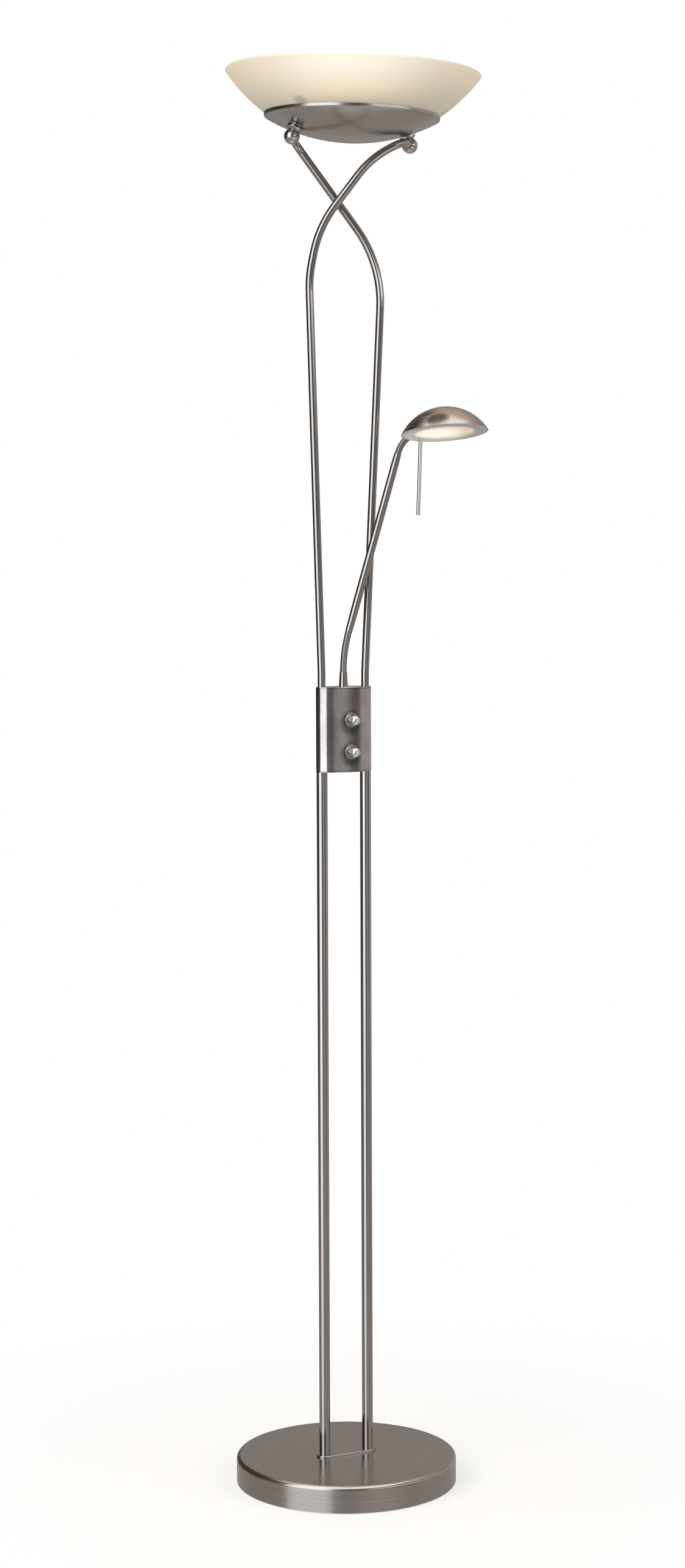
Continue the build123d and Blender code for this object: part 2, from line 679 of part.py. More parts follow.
def glass_line():
    """Lower edge, rim and unit directions along and across the glass's side."""
    foot = Vector(GLASS_FOOT_RADIUS, glass_foot_height())
    rim = Vector(GLASS_RIM_RADIUS, GLASS_RIM_HEIGHT)
    along = (rim - foot).normalized()
    return foot, rim, along, Vector(-along.Y, along.X)


def glass_bowl():
    """Open glass with a gently bulging side and a rounded rim."""
    foot, rim, along, inward = glass_line()
    middle = (foot + rim) / 2 - inward * GLASS_BULGE
    thick = inward * GLASS_WALL
    lip = rim + (thick + along * GLASS_WALL) / 2
    outline = [
        ThreePointArc(foot, middle, rim),
        ThreePointArc(rim, lip, rim + thick),
        ThreePointArc(rim + thick, middle + thick, foot + thick),
        Line(foot + thick, foot),
    ]
    return dish_frame() * revolve(Plane.XZ * make_face(outline), Axis.Z)


def bowl_clamps():
    """Clamps on the dish that hook over the glass's lower edge."""
    foot, _, along, inward = glass_line()
    edge = foot + inward * GLASS_WALL
    face = sqrt(edge.X**2 - (CLAMP_WIDTH / 2) ** 2) - CLAMP_GAP
    heel = face - CLAMP_THICKNESS
    toe = heel - CLAMP_LENGTH
    hook = edge + along * CLAMP_HOOK + inward * CLAMP_GAP
    hook_top = hook + inward * CLAMP_THICKNESS
    outline = [
        (toe, 0),
        (face, 0),
        (face, edge.Y + CLAMP_GAP),
        (hook.X, hook.Y),
        (hook_top.X, hook_top.Y),
        (heel, edge.Y + CLAMP_THICKNESS),
        (heel, dish_rise(heel, DISH_CURVE - DISH_WALL) + CLAMP_THICKNESS),
        (toe, dish_rise(toe, DISH_CURVE - DISH_WALL) + CLAMP_THICKNESS),
    ]
    profile = Plane.XZ * make_face(Polyline(*outline, close=True))
    clamp = extrude(profile, CLAMP_WIDTH / 2, both=True)
    first = FITTING_AZIMUTH + 90
    return [dish_frame() * (piece & dish_inside(TOUCH)) for piece in around(CLAMP_COUNT, 0, clamp, first)]


def bracket_inner_x():
    """Distance of the bracket's upright from the lamp's middle."""
    tilt = asin(FITTING_RADIUS / DISH_CURVE)
    return FITTING_RADIUS - (DISH_WALL + BRACKET_LIFT) * sin(tilt) - BRACKET_INWARD * cos(tilt)


def lamp_brackets():
    """Bent strips under the studs' nuts that carry the lampholders."""
    tilt = asin(FITTING_RADIUS / DISH_CURVE)
    tangent = Vector(cos(tilt), sin(tilt))
    normal = Vector(-sin(tilt), cos(tilt))
    lift = normal * (DISH_WALL + BRACKET_LIFT)
    seat = Vector(FITTING_RADIUS, dish_rise(FITTING_RADIUS, DISH_CURVE)) + lift
    heel = seat - tangent * BRACKET_INWARD
    toe = seat + tangent * BRACKET_OUTWARD
    toe_top = toe + normal * BRACKET_THICKNESS
    upright = heel.X + BRACKET_THICKNESS
    bend = toe_top - tangent * ((toe_top.X - upright) / tangent.X)
    top = HALOGEN_HEIGHT + HOLDER_HEIGHT / 2
    outline = [heel, toe, toe_top, bend, Vector(upright, top), Vector(heel.X, top)]
    strip = extrude(Plane.XZ * make_face(Polyline(*outline, close=True)), BRACKET_WIDTH / 2, both=True)
    hole = Pos(seat.X, 0, seat.Y) * Rot(0, -degrees(tilt), 0)
    strip -= hole * rod(FITTING_STUD_RADIUS + FIT, -BRACKET_THICKNESS, BRACKET_THICKNESS * 2)
    return at_lamp_ends(strip)


def at_lamp_ends(piece):
    """The same piece at both ends of the uplighter's lamp."""
    azimuths = (FITTING_AZIMUTH, FITTING_AZIMUTH + 180)
    return [dish_frame() * Rot(0, 0, azimuth) * piece for azimuth in azimuths]


def along_lamp(start, radius, length):
    """Cylinder on the lamp's axis, outward from a distance from its middle."""
    axis = Plane(origin=(0, 0, HALOGEN_HEIGHT), x_dir=(0, 1, 0), z_dir=(1, 0, 0))
    return axis * rod(radius, start, start + length)


def lampholders():
    """Ceramic end holders of the uplighter's lamp."""
    face = bracket_inner_x()
    half = HOLDER_WIDTH / 2
    low = HALOGEN_HEIGHT - HOLDER_HEIGHT / 2
    block = slab((face - HOLDER_LENGTH, face), (-half, half), (low, low + HOLDER_HEIGHT))
    socket = HOLDER_LENGTH - HOLDER_FLOOR + FIT
    block -= along_lamp(face - HOLDER_LENGTH, HALOGEN_CAP_RADIUS + FIT, socket)
    return at_lamp_ends(block)


def halogen_half():
    """Half the length of the quartz tube, which fits between the two holders with its caps."""
    return bracket_inner_x() - HOLDER_FLOOR - HALOGEN_CAP_LENGTH


def halogen_tube():
    """Quartz tube of the uplighter's lamp."""
    half = halogen_half()
    return dish_frame() * Rot(0, 0, FITTING_AZIMUTH) * along_lamp(-half, HALOGEN_RADIUS, half * 2)


def halogen_caps():
    """Ceramic ends of the uplighter's lamp."""
    return at_lamp_ends(along_lamp(halogen_half(), HALOGEN_CAP_RADIUS, HALOGEN_CAP_LENGTH))


# Flexible necks. A neck is an arc whose start is a frame: Z along the neck, X square to its bend.

def station(start, turn, length, share):
    """Frame square to a neck's centreline, a share of the way along it."""
    angle = radians(turn) * share
    radius = length / radians(turn)
    inward = start.x_dir.cross(start.z_dir)
    origin = start.origin + start.z_dir * (radius * sin(angle)) + inward * (radius * (1 - cos(angle)))
    tangent = start.z_dir * cos(angle) + inward * sin(angle)
    return Plane(origin=origin, x_dir=start.x_dir, z_dir=tangent)


def lofted(sections):
    """Ruled solid through circles, each a frame and a radius."""
    return loft([frame * Circle(radius) for frame, radius in sections], ruled=True)


def plain_end(radius):
    """Length of the straight end that a neck has in its socket, one diameter."""
    return 2 * radius


def neck_half(start, turn, length, radius, ribs, upper):
    """Half of a ribbed neck, with the plain straight end that sits in its socket."""
    shares = [0.5 + 0.5 * rib / ribs if upper else 0.5 * rib / ribs for rib in range(ribs + 1)]
    root = radius - RIB_DEPTH
    pitch = shares[1] - shares[0]
    sections = []
    for share in shares[:-1]:
        for rise, rib_radius in zip(RIB_OUTLINE, (root, radius, radius, root)):
            sections.append((station(start, turn, length, share + rise * pitch), rib_radius))
    sections.append((station(start, turn, length, shares[-1]), root))
    bore = [(station(start, turn, length, share), NECK_BORE) for share in shares]
    if upper:
        end = sections[-1][0].offset(plain_end(radius))
        sections.append((end, root))
        bore.append((end, NECK_BORE))
    else:
        end = sections[0][0].offset(-plain_end(radius))
        sections.insert(0, (end, root))
        bore.insert(0, (end, NECK_BORE))
    return lofted(sections) - lofted(bore)


# Reading arm

def lower_neck_start():
    """Frame on the ferrule's top, X square to the plane that the arm leans in."""
    across = Vector(-sin(radians(ARM_AZIMUTH)), cos(radians(ARM_AZIMUTH)), 0)
    return Plane(origin=(0, 0, BOX_TOP + FERRULE_HEIGHT), x_dir=across, z_dir=(0, 0, 1))


def arm_frame():
    """Frame on the arm's lower end, Z along the arm."""
    return station(lower_neck_start(), ARM_LEAN, LOWER_NECK_LENGTH, 1)


def head_forward():
    """Direction that the neck points in where it enters the head."""
    level = cos(radians(HEAD_PITCH))
    azimuth = radians(HEAD_AZIMUTH)
    return Vector(level * cos(azimuth), level * sin(azimuth), sin(radians(HEAD_PITCH)))


def upper_neck_start():
    """Frame on the arm's upper end, X square to the neck's bend."""
    arm = arm_frame()
    bend_axis = arm.z_dir.cross(head_forward()).normalized()
    return Plane(origin=arm.origin + arm.z_dir * ARM_LENGTH, x_dir=bend_axis, z_dir=arm.z_dir)


def upper_neck_turn():
    """Angle through which the upper neck bends."""
    return arm_frame().z_dir.get_angle(head_forward())


def head_frame():
    """Frame in the middle of the head's rim, X away from the neck, Z up through the dome."""
    forward = head_forward()
    neck_end = station(upper_neck_start(), upper_neck_turn(), UPPER_NECK_LENGTH, 1).origin
    plumb = Vector(0, 0, 1)
    level_up = (plumb - forward * plumb.dot(forward)).normalized()
    side = level_up.cross(forward)
    roll = radians(HEAD_ROLL)
    up = level_up * cos(roll) + side * sin(roll)
    return Plane(origin=neck_end + forward * HEAD_REACH - up * HEAD_NECK_HEIGHT, x_dir=forward, z_dir=up)


def socket_bore(radius):
    """Bore that takes a neck's plain end."""
    return radius - RIB_DEPTH + FIT


def arm_ferrule():
    """Tapered socket on the box's top with its hollow screw."""
    top = BOX_TOP + FERRULE_HEIGHT
    screw_end = top_thread_end()
    cone = turned((0, BOX_TOP), (FERRULE_FOOT_RADIUS, BOX_TOP), (FERRULE_TOP_RADIUS, top), (0, top))
    cone += rod(nipple_radius(), screw_end, BOX_TOP)
    cone -= rod(socket_bore(LOWER_NECK_RADIUS), top - plain_end(LOWER_NECK_RADIUS) - APART, top)
    return cone - rod(WIRE_BORE, screw_end, top)


def top_thread_end():
    """Height of the lower end of the threads under the box's top."""
    return BOX_TOP - BOX_PLATE - FLANGE_THICKNESS - BOX_NUT_HEIGHT - THREAD_END


def tube_nipples():
    """Hollow screws that hold the upper tubes on the box."""
    return at_poles(tube(nipple_radius(), NIPPLE_BORE, top_thread_end(), BOX_TOP + NIPPLE_GRIP))


def arm_tube():
    """Slender arm, drawn in at both ends."""
    outline = turned(
        (0, 0),
        (ARM_END_RADIUS, 0),
        (ARM_RADIUS, ARM_LOWER_TAPER),
        (ARM_RADIUS, ARM_LENGTH - ARM_UPPER_TAPER),
        (ARM_END_RADIUS, ARM_LENGTH),
        (0, ARM_LENGTH),
    )
    outline -= rod(ARM_BORE, 0, ARM_LENGTH)
    outline -= rod(socket_bore(LOWER_NECK_RADIUS), 0, plain_end(LOWER_NECK_RADIUS) + APART)
    upper_socket = ARM_LENGTH - plain_end(UPPER_NECK_RADIUS) - APART
    outline -= rod(socket_bore(UPPER_NECK_RADIUS), upper_socket, ARM_LENGTH)
    return arm_frame() * outline


# Reading head, in its own frame

def dome_space(inset):
    """Cap of the dome's sphere, moved inward."""
    curve = (HEAD_RADIUS**2 + HEAD_HEIGHT**2) / (2 * HEAD_HEIGHT)
    cap = Pos(0, 0, HEAD_HEIGHT - curve) * Sphere(curve - inset)
    return cap & rod(HEAD_RADIUS * 2, 0, HEAD_HEIGHT)


def neck_axis():
    """Frame on the neck's line in the head, Z away from the neck."""
    return Plane(origin=(0, 0, HEAD_NECK_HEIGHT), x_dir=(0, 1, 0), z_dir=(1, 0, 0))


def handle_axis():
    """Frame where the handle comes out of the ring, Z up along it."""
    lean = radians(HANDLE_LEAN)
    return Plane(origin=(-HANDLE_OFFSET, 0, 0), x_dir=(0, 1, 0), z_dir=(sin(lean), 0, cos(lean)))


def head_dome():
    """Spun dome with the neck's hole in its side."""
    dome = dome_space(0) - dome_space(HEAD_WALL)
    return dome - neck_axis() * rod(UPPER_NECK_RADIUS + FIT, -HEAD_RADIUS, -HEAD_RADIUS / 2)


def head_ring():
    """Flat ring that closes the dome round the glass."""
    ring = dome_space(HEAD_WALL + FIT) & tube(HEAD_RADIUS, RING_OPENING, 0, RING_THICKNESS)
    return ring - handle_axis() * rod(HANDLE_THREAD_RADIUS + FIT, -RING_THICKNESS, RING_THICKNESS * 2)


def head_glass():
    """Frosted disc over the ring's opening."""
    glass = rod(HEAD_GLASS_RADIUS, RING_THICKNESS, RING_THICKNESS + HEAD_GLASS_THICKNESS)
    return glass - head_socket_envelope()


def glass_clips():
    """Spring clips that hold the disc on the ring."""
    low = RING_THICKNESS
    high = low + HEAD_GLASS_THICKNESS
    inner = HEAD_GLASS_RADIUS - CLIP_REACH
    heel = HEAD_GLASS_RADIUS + FIT
    half = (-CLIP_WIDTH / 2, CLIP_WIDTH / 2)
    clip = slab((inner, heel + CLIP_THICKNESS), half, (high, high + CLIP_THICKNESS))
    clip += slab((heel, heel + CLIP_THICKNESS), half, (low, high + CLIP_THICKNESS))
    clip += slab((heel, heel + CLIP_TAIL), half, (low, low + CLIP_THICKNESS))
    return [Rot(0, 0, azimuth) * clip for azimuth in CLIP_AZIMUTHS]


def head_socket_start():
    """Place of the end of the neck's plain end, along the neck's line in the head."""
    return plain_end(UPPER_NECK_RADIUS) - HEAD_REACH


def head_socket_envelope():
    """Room that the socket takes, with its clearance."""
    room = rod(SOCKET_RADIUS + FIT, -HEAD_RADIUS, head_socket_start() + SOCKET_LENGTH)
    return neck_axis() * room


def head_socket():
    """Turned socket inside the dome that holds the neck's end and the handle."""
    end = head_socket_start()
    body = neck_axis() * rod(SOCKET_RADIUS, -HEAD_RADIUS, end + SOCKET_LENGTH)
    body &= dome_space(HEAD_WALL + TOUCH)
    body &= slab((-HEAD_RADIUS, 0), (-HEAD_RADIUS, HEAD_RADIUS), (RING_THICKNESS, HEAD_HEIGHT))
    body -= neck_axis() * rod(socket_bore(UPPER_NECK_RADIUS), -HEAD_RADIUS, end + FIT)
    body -= neck_axis() * rod(WIRE_BORE, end, end + SOCKET_LENGTH)
    thread_end = RING_THICKNESS + HANDLE_THREAD_LENGTH + FIT
    return body - handle_axis() * rod(HANDLE_THREAD_RADIUS + FIT, 0, thread_end)


def capsule_holder():
    """Ceramic holder on the socket's inner end."""
    start = head_socket_start() + SOCKET_LENGTH
    holder = rod(CAPSULE_HOLDER_RADIUS, start, start + CAPSULE_HOLDER_LENGTH)
    floor = RING_THICKNESS + HEAD_GLASS_THICKNESS + APART
    room = slab((-HEAD_RADIUS, HEAD_RADIUS), (-HEAD_RADIUS, HEAD_RADIUS), (floor, HEAD_HEIGHT))
    return (neck_axis() * holder) & room


def capsule_lamp():
    """Small capsule lamp in its holder."""
    start = head_socket_start() + SOCKET_LENGTH + CAPSULE_HOLDER_LENGTH
    tip = start + CAPSULE_LENGTH - CAPSULE_RADIUS
    capsule = rod(CAPSULE_RADIUS, start, tip) + Pos(0, 0, tip) * Sphere(CAPSULE_RADIUS)
    floor = RING_THICKNESS + HEAD_GLASS_THICKNESS + APART
    room = slab((-HEAD_RADIUS, HEAD_RADIUS), (-HEAD_RADIUS, HEAD_RADIUS), (floor, HEAD_HEIGHT))
    return (neck_axis() * capsule) & room


def handle_rod():
    """Thin rod under the head, for aiming it."""
    end = fillet(rod(HANDLE_RADIUS, -HANDLE_LENGTH, 0).edges().sort_by(Axis.Z)[0], HANDLE_EDGE)
    shoulder = HANDLE_RADIUS * sin(radians(HANDLE_LEAN)) + TOUCH
    handle = Pos(0, 0, -shoulder) * end
    handle += rod(HANDLE_THREAD_RADIUS, -shoulder, RING_THICKNESS + HANDLE_THREAD_LENGTH)
    return handle_axis() * handle


def build():
    """Write every node."""
    os.makedirs("parts", exist_ok=True)

    save("base_cover", base_cover())
    save("cord_grommet", cord_grommet())
    save("base_weight", base_weight())
    save("base_plate", base_plate())
    save("base_pad", base_pad())
    save("base_screws", *base_screws())
    save("base_spacers", *base_spacers())

    save("foot_plate", foot_plate())
    left_pole, right_pole = at_poles(pole())
    save("left_pole", left_pole)
    save("right_pole", right_pole)
    save("foot_studs", *foot_studs())
    save("foot_washers", *foot_washers())
    save("foot_nuts", *foot_nuts())
    save("pole_head_studs", *pole_head_studs())

    save("ring_nuts", *ring_nuts())
    save("box_bottom_plate", box_bottom_plate())
    save("box_top_plate", box_top_plate())
    save("box_chassis", chassis())
    save("box_front_cover", front_cover())
    save("box_rear_cover", rear_cover())
    save("cover_screws", *cover_screws())
    save("terminal_block", terminal_block())
    for place, height in KNOB_HEIGHTS.items():
        save(f"{place}_dimmer", dimmer(height))
        save(f"{place}_bezel", bezel(height))
        save(f"{place}_knob", knob(height))
        save(f"{place}_knob_shaft", knob_shaft(height))
    save("tube_nipples", *tube_nipples())

    right_frame, left_frame = fitting_frames()
    front_tube, right_approach = upper_tube(-1, FRONT_TUBE_BENDS, right_frame)
    rear_tube, left_approach = upper_tube(1, REAR_TUBE_BENDS, left_frame)
    save("front_upper_tube", front_tube)
    save("rear_upper_tube", rear_tube)
    save("right_ball", ball(right_frame, right_approach))
    save("left_ball", ball(left_frame, left_approach))
    save("ball_collars", *[collar(frame) for frame in fitting_frames()])
    save("ball_studs", *[fitting_stud(frame) for frame in fitting_frames()])
    save("dish_nuts", *[fitting_nut(frame) for frame in fitting_frames()])
    save("shade_dish", shade_dish())
    save("seat_ring", seat_ring())
    save("glass_bowl", glass_bowl())
    save("bowl_clamps", *bowl_clamps())
    save("lamp_brackets", *lamp_brackets())
    save("lampholders", *lampholders())
    save("halogen_tube", halogen_tube())
    save("halogen_caps", *halogen_caps())

    save("arm_ferrule", arm_ferrule())
    lower_neck = (lower_neck_start(), ARM_LEAN, LOWER_NECK_LENGTH, LOWER_NECK_RADIUS, LOWER_NECK_RIBS)
    save("lower_neck_a", neck_half(*lower_neck, upper=False))
    save("lower_neck_b", neck_half(*lower_neck, upper=True))
    save("arm_tube", arm_tube())
    turn = upper_neck_turn()
    upper_neck = (upper_neck_start(), turn, UPPER_NECK_LENGTH, UPPER_NECK_RADIUS, UPPER_NECK_RIBS)
    save("upper_neck_a", neck_half(*upper_neck, upper=False))
    save("upper_neck_b", neck_half(*upper_neck, upper=True))

    head = head_frame()
    save("head_dome", head * head_dome())
    save("head_ring", head * head_ring())
    save("head_glass", head * head_glass())
    save("glass_clips", *[head * clip for clip in glass_clips()])
    save("head_socket", head * head_socket())
    save("capsule_holder", head * capsule_holder())
    save("capsule_lamp", head * capsule_lamp())
    save("handle_rod", head * handle_rod())


build()
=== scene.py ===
import json
from math import cos, pi, radians, sin, sqrt

import bmesh
import bpy
from mathutils import Matrix, Vector


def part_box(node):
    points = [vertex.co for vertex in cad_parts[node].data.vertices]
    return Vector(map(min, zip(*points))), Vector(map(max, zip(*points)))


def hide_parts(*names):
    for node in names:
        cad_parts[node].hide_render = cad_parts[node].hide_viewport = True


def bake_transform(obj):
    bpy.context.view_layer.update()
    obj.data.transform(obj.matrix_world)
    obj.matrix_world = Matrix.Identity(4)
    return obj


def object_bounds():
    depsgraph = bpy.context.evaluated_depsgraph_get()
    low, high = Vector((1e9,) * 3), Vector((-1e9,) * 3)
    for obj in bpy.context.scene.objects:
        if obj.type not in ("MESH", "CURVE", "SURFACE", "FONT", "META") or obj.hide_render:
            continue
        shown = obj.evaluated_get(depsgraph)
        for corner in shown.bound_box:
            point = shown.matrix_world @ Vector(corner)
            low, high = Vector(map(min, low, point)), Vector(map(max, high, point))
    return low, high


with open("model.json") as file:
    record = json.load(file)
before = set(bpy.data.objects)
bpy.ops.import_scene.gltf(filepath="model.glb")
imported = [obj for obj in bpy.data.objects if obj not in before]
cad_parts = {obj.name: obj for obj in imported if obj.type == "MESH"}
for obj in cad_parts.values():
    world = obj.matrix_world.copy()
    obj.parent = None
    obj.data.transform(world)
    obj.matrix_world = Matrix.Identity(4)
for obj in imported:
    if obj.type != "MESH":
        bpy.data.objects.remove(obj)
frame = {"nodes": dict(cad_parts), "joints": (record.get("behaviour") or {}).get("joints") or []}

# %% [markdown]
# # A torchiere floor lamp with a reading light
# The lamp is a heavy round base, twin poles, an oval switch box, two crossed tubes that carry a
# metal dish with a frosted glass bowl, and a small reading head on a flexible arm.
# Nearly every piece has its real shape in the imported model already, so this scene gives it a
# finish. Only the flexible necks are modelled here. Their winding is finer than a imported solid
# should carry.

CAD_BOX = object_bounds()
nodes = frame["nodes"]
joints = {joint["name"]: joint for joint in frame["joints"]}
scene = bpy.context.scene
print("model box", [round(value, 4) for corner in CAD_BOX for value in corner])

# %% [markdown]
# ## The camera
# The photograph was taken from the lamp's front left, at about two thirds of its height, with a
# long lens. A camera is a place and three directions: right, up and forward. Building its matrix
# from those three keeps the small roll of the picture exact, which aiming at a point would lose.

# %% Camera
PICTURE_HEIGHT = 2576
FOCAL_PIXELS = 4936.3
SENSOR = 36.0
CAMERA_DISTANCE = 3.8161
CAMERA_HEIGHT = 1.2214
CAMERA_AZIMUTH = radians(26.888)
CAMERA_PITCH = radians(4.724)
CAMERA_ROLL = radians(-0.22)
CAMERA_SIDESTEP = 0.00168

level_forward = Vector((sin(CAMERA_AZIMUTH), cos(CAMERA_AZIMUTH), 0))
level_right = Vector((cos(CAMERA_AZIMUTH), -sin(CAMERA_AZIMUTH), 0))
camera_forward = level_forward * cos(CAMERA_PITCH) - Vector((0, 0, sin(CAMERA_PITCH)))
camera_up = level_right.cross(camera_forward)
right_axis = level_right * cos(CAMERA_ROLL) + camera_up * sin(CAMERA_ROLL)
up_axis = camera_up * cos(CAMERA_ROLL) - level_right * sin(CAMERA_ROLL)
camera_foot = -level_forward * CAMERA_DISTANCE - level_right * CAMERA_SIDESTEP
camera_place = camera_foot + Vector((0, 0, CAMERA_HEIGHT))

camera_data = bpy.data.cameras.new("photo_camera")
camera_data.sensor_width = SENSOR
camera_data.lens = FOCAL_PIXELS / PICTURE_HEIGHT * SENSOR
camera = bpy.data.objects.new("photo_camera", camera_data)
scene.collection.objects.link(camera)
camera.matrix_world = Matrix((
    (right_axis.x, up_axis.x, -camera_forward.x, camera_place.x),
    (right_axis.y, up_axis.y, -camera_forward.y, camera_place.y),
    (right_axis.z, up_axis.z, -camera_forward.z, camera_place.z),
    (0, 0, 0, 1),
))
scene.camera = camera
print("lens", round(camera_data.lens, 1), "mm, from", [round(value, 3) for value in camera_place])

# %% [markdown]
# ## Arithmetic on sockets
# A material is a graph of nodes. Writing that graph as Python expressions keeps it readable, so
# `Amount` wraps an output socket and turns `+ - * / **` into Math nodes, also when the number
# stands first. Soft steps and sways come up in every finish, so they are methods too.

# %% Socket wrapper
class Amount:
    """A number on its way through a node tree."""

    def __init__(self, recipe, socket):
        self.recipe = recipe
        self.socket = socket

    def _math(self, operation, first, second):
        settings = {"operation": operation}
        return self.recipe.add("ShaderNodeMath", settings, {0: first, 1: second})

    def __add__(self, other):
        return self._math("ADD", self, other)

    def __radd__(self, other):
        return self._math("ADD", other, self)

    def __sub__(self, other):
        return self._math("SUBTRACT", self, other)

    def __rsub__(self, other):
        return self._math("SUBTRACT", other, self)

    def __mul__(self, other):
        return self._math("MULTIPLY", self, other)

    def __rmul__(self, other):
        return self._math("MULTIPLY", other, self)

    def __truediv__(self, other):
        return self._math("DIVIDE", self, other)

    def __rtruediv__(self, other):
        return self._math("DIVIDE", other, self)

    def __pow__(self, other):
        return self._math("POWER", self, other)

    def __rpow__(self, other):
        return self._math("POWER", other, self)

    def __neg__(self):
        return self._math("MULTIPLY", self, -1.0)

    def clamped(self):
        """The number kept between 0 and 1."""
        return self.recipe.add("ShaderNodeClamp", {}, {"Value": self})

    def sway(self, reach):
        """Noise, which lies round a half, as a small number that sways round 0."""
        return (self - 0.5) * reach

    def smooth(self, low, high):
        """0 up to low, 1 from high, and a soft step between."""
        settings = {"interpolation_type": "SMOOTHSTEP"}
        sockets = {"Value": self, "From Min": low, "From Max": high}
        return self.recipe.add("ShaderNodeMapRange", settings, sockets)

    def within(self, low, high, soft):
        """1 between low and high, 0 outside, and a soft step at both ends."""
        return self.smooth(low - soft, low + soft) * (1 - self.smooth(high - soft, high + soft))


print("sums on", Amount.__name__)

# %% [markdown]
# ## Building a node tree
# `Recipe` fills one tree. Its `add` method makes a node of any kind, with its settings first and
# then the values or links of its sockets. Colours are mixed with Mix nodes and places with Vector
# Math, because a Math node would turn a colour grey. Patterns read the object's own coordinates, in
# metres, so they have their real size and travel with a piece when its joint moves.

# %% Node tree builder
class Recipe:
    """Fills one node tree."""

    def __init__(self, tree):
        self.tree = tree
        tree.nodes.clear()

    def add(self, kind, settings=None, sockets=None, output=0):
        """A node of any kind; its chosen output comes back as an Amount."""
        node = self.tree.nodes.new(kind)
        settings = dict(settings or {})
        stops = settings.pop("stops", [])
        for name, value in settings.items():
            setattr(node, name, value)
        if stops:
            ramp = node.color_ramp
            while len(ramp.elements) < len(stops):
                ramp.elements.new(0.5)
            for element, (place, colour) in zip(ramp.elements, stops):
                element.position = place
                element.color = (*colour, 1.0)
        for name, value in (sockets or {}).items():
            self.feed(node.inputs[name], value)
        return Amount(self, node.outputs[output]) if len(node.outputs) else node

    def feed(self, socket, value):
        """Link an Amount to a socket, or write a constant on it."""
        if isinstance(value, Amount):
            self.tree.links.new(value.socket, socket)
        elif isinstance(value, tuple) and len(socket.default_value) == 4:
            socket.default_value = (*value, 1.0)
        else:
            socket.default_value = value

    def blend(self, factor, first, second):
        """Colour mix: first where the factor is 0, second where it is 1."""
        settings = {"data_type": "RGBA"}
        return self.add("ShaderNodeMix", settings, {0: factor, 6: first, 7: second}, output=2)

    def vector(self, operation, first, second=(0, 0, 0), output=0):
        """Vector arithmetic; output 1 is the number that a length or a dot product gives."""
        settings = {"operation": operation}
        return self.add("ShaderNodeVectorMath", settings, {0: first, 1: second}, output)

    def place(self, stretch=(1, 1, 1), shift=(0, 0, 0)):
        """A point's place in metres, shifted and then stretched."""
        point = self.add("ShaderNodeTexCoord", output=3)
        return self.vector("MULTIPLY", self.vector("SUBTRACT", point, shift), stretch)

    def away(self, centre, stretch=(1, 1, 1)):
        """A point's distance from a centre."""
        return self.vector("LENGTH", self.place(stretch, centre), output=1)

    def height(self, vector):
        """The upright part of a vector."""
        split = self.add("ShaderNodeSeparateXYZ", {}, {0: vector})
        return Amount(self, split.socket.node.outputs[2])

    def noise(self, vector, scale=1.0, detail=3.0):
        """Soft noise from 0 to 1."""
        sockets = {"Vector": vector, "Scale": scale, "Detail": detail}
        return self.add("ShaderNodeTexNoise", {}, sockets)

    def bump(self, height, strength, distance):
        """Surface relief from a height."""
        sockets = {"Height": height, "Strength": strength, "Distance": distance}
        return self.add("ShaderNodeBump", {}, sockets)

    def ray_masks(self):
        """Two masks: rays of the camera or through glass, and rays that a mirror sends out."""
        rays = self.add("ShaderNodeLightPath")
        outputs = rays.socket.node.outputs
        seen = (rays + Amount(self, outputs["Is Transmission Ray"])).clamped()
        return seen, Amount(self, outputs["Is Glossy Ray"])


print("node trees from", Recipe.__name__)

# %% [markdown]
# ## A blank finish
# Every finish starts as a new material with one Principled shader. Values that are the same all
# over go straight onto its sockets, and what varies is linked afterwards. A finish that depends on
# where a piece is reads the middle of its box from the model, so no place is written down twice.

# %% Blank material and middle of a piece
def surface(name, **sockets):
    """A new material with one Principled shader, its recipe and the shader's inputs."""
    material = bpy.data.materials.new(name)
    material.use_nodes = True
    recipe = Recipe(material.node_tree)
    shader = recipe.add("ShaderNodeBsdfPrincipled")
    recipe.add("ShaderNodeOutputMaterial", {}, {"Surface": shader})
    inputs = shader.socket.node.inputs
    for socket, value in sockets.items():
        recipe.feed(inputs[socket.replace("_", " ")], value)
    return material, recipe, inputs


def middle(node):
    """Centre of a node's box."""
    low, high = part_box(node)
    return (Vector(low) + Vector(high)) / 2


print("middle of the base", [round(value, 3) for value in middle("base_cover")])

# %% [markdown]
# ## Satin nickel
# The poles, tubes, box, base, dish and head are steel plated with satin nickel: a warm grey metal
# that mirrors its surroundings softly. Satin plating is brushed, so light smears across the
# strokes. The strokes are noise stretched more than a hundredfold along the brushing: upright on
# the poles, and in circles on the turned pieces, where the noise reads the distance from the
# piece's own axis. An image of brushed metal would show a seam where it wraps; noise in space has
# none.

# %% Satin nickel in strokes
NICKEL = (0.48, 0.449, 0.428)
NICKEL_DULL = (0.38, 0.352, 0.333)
UPRIGHT_FINE = (1400, 1400, 8)
UPRIGHT_BROAD = (380, 380, 2)
TURNED_FINE = 1500.0
TURNED_BROAD = 350.0
ROUND_THE_AXIS = (1, 1, 0)


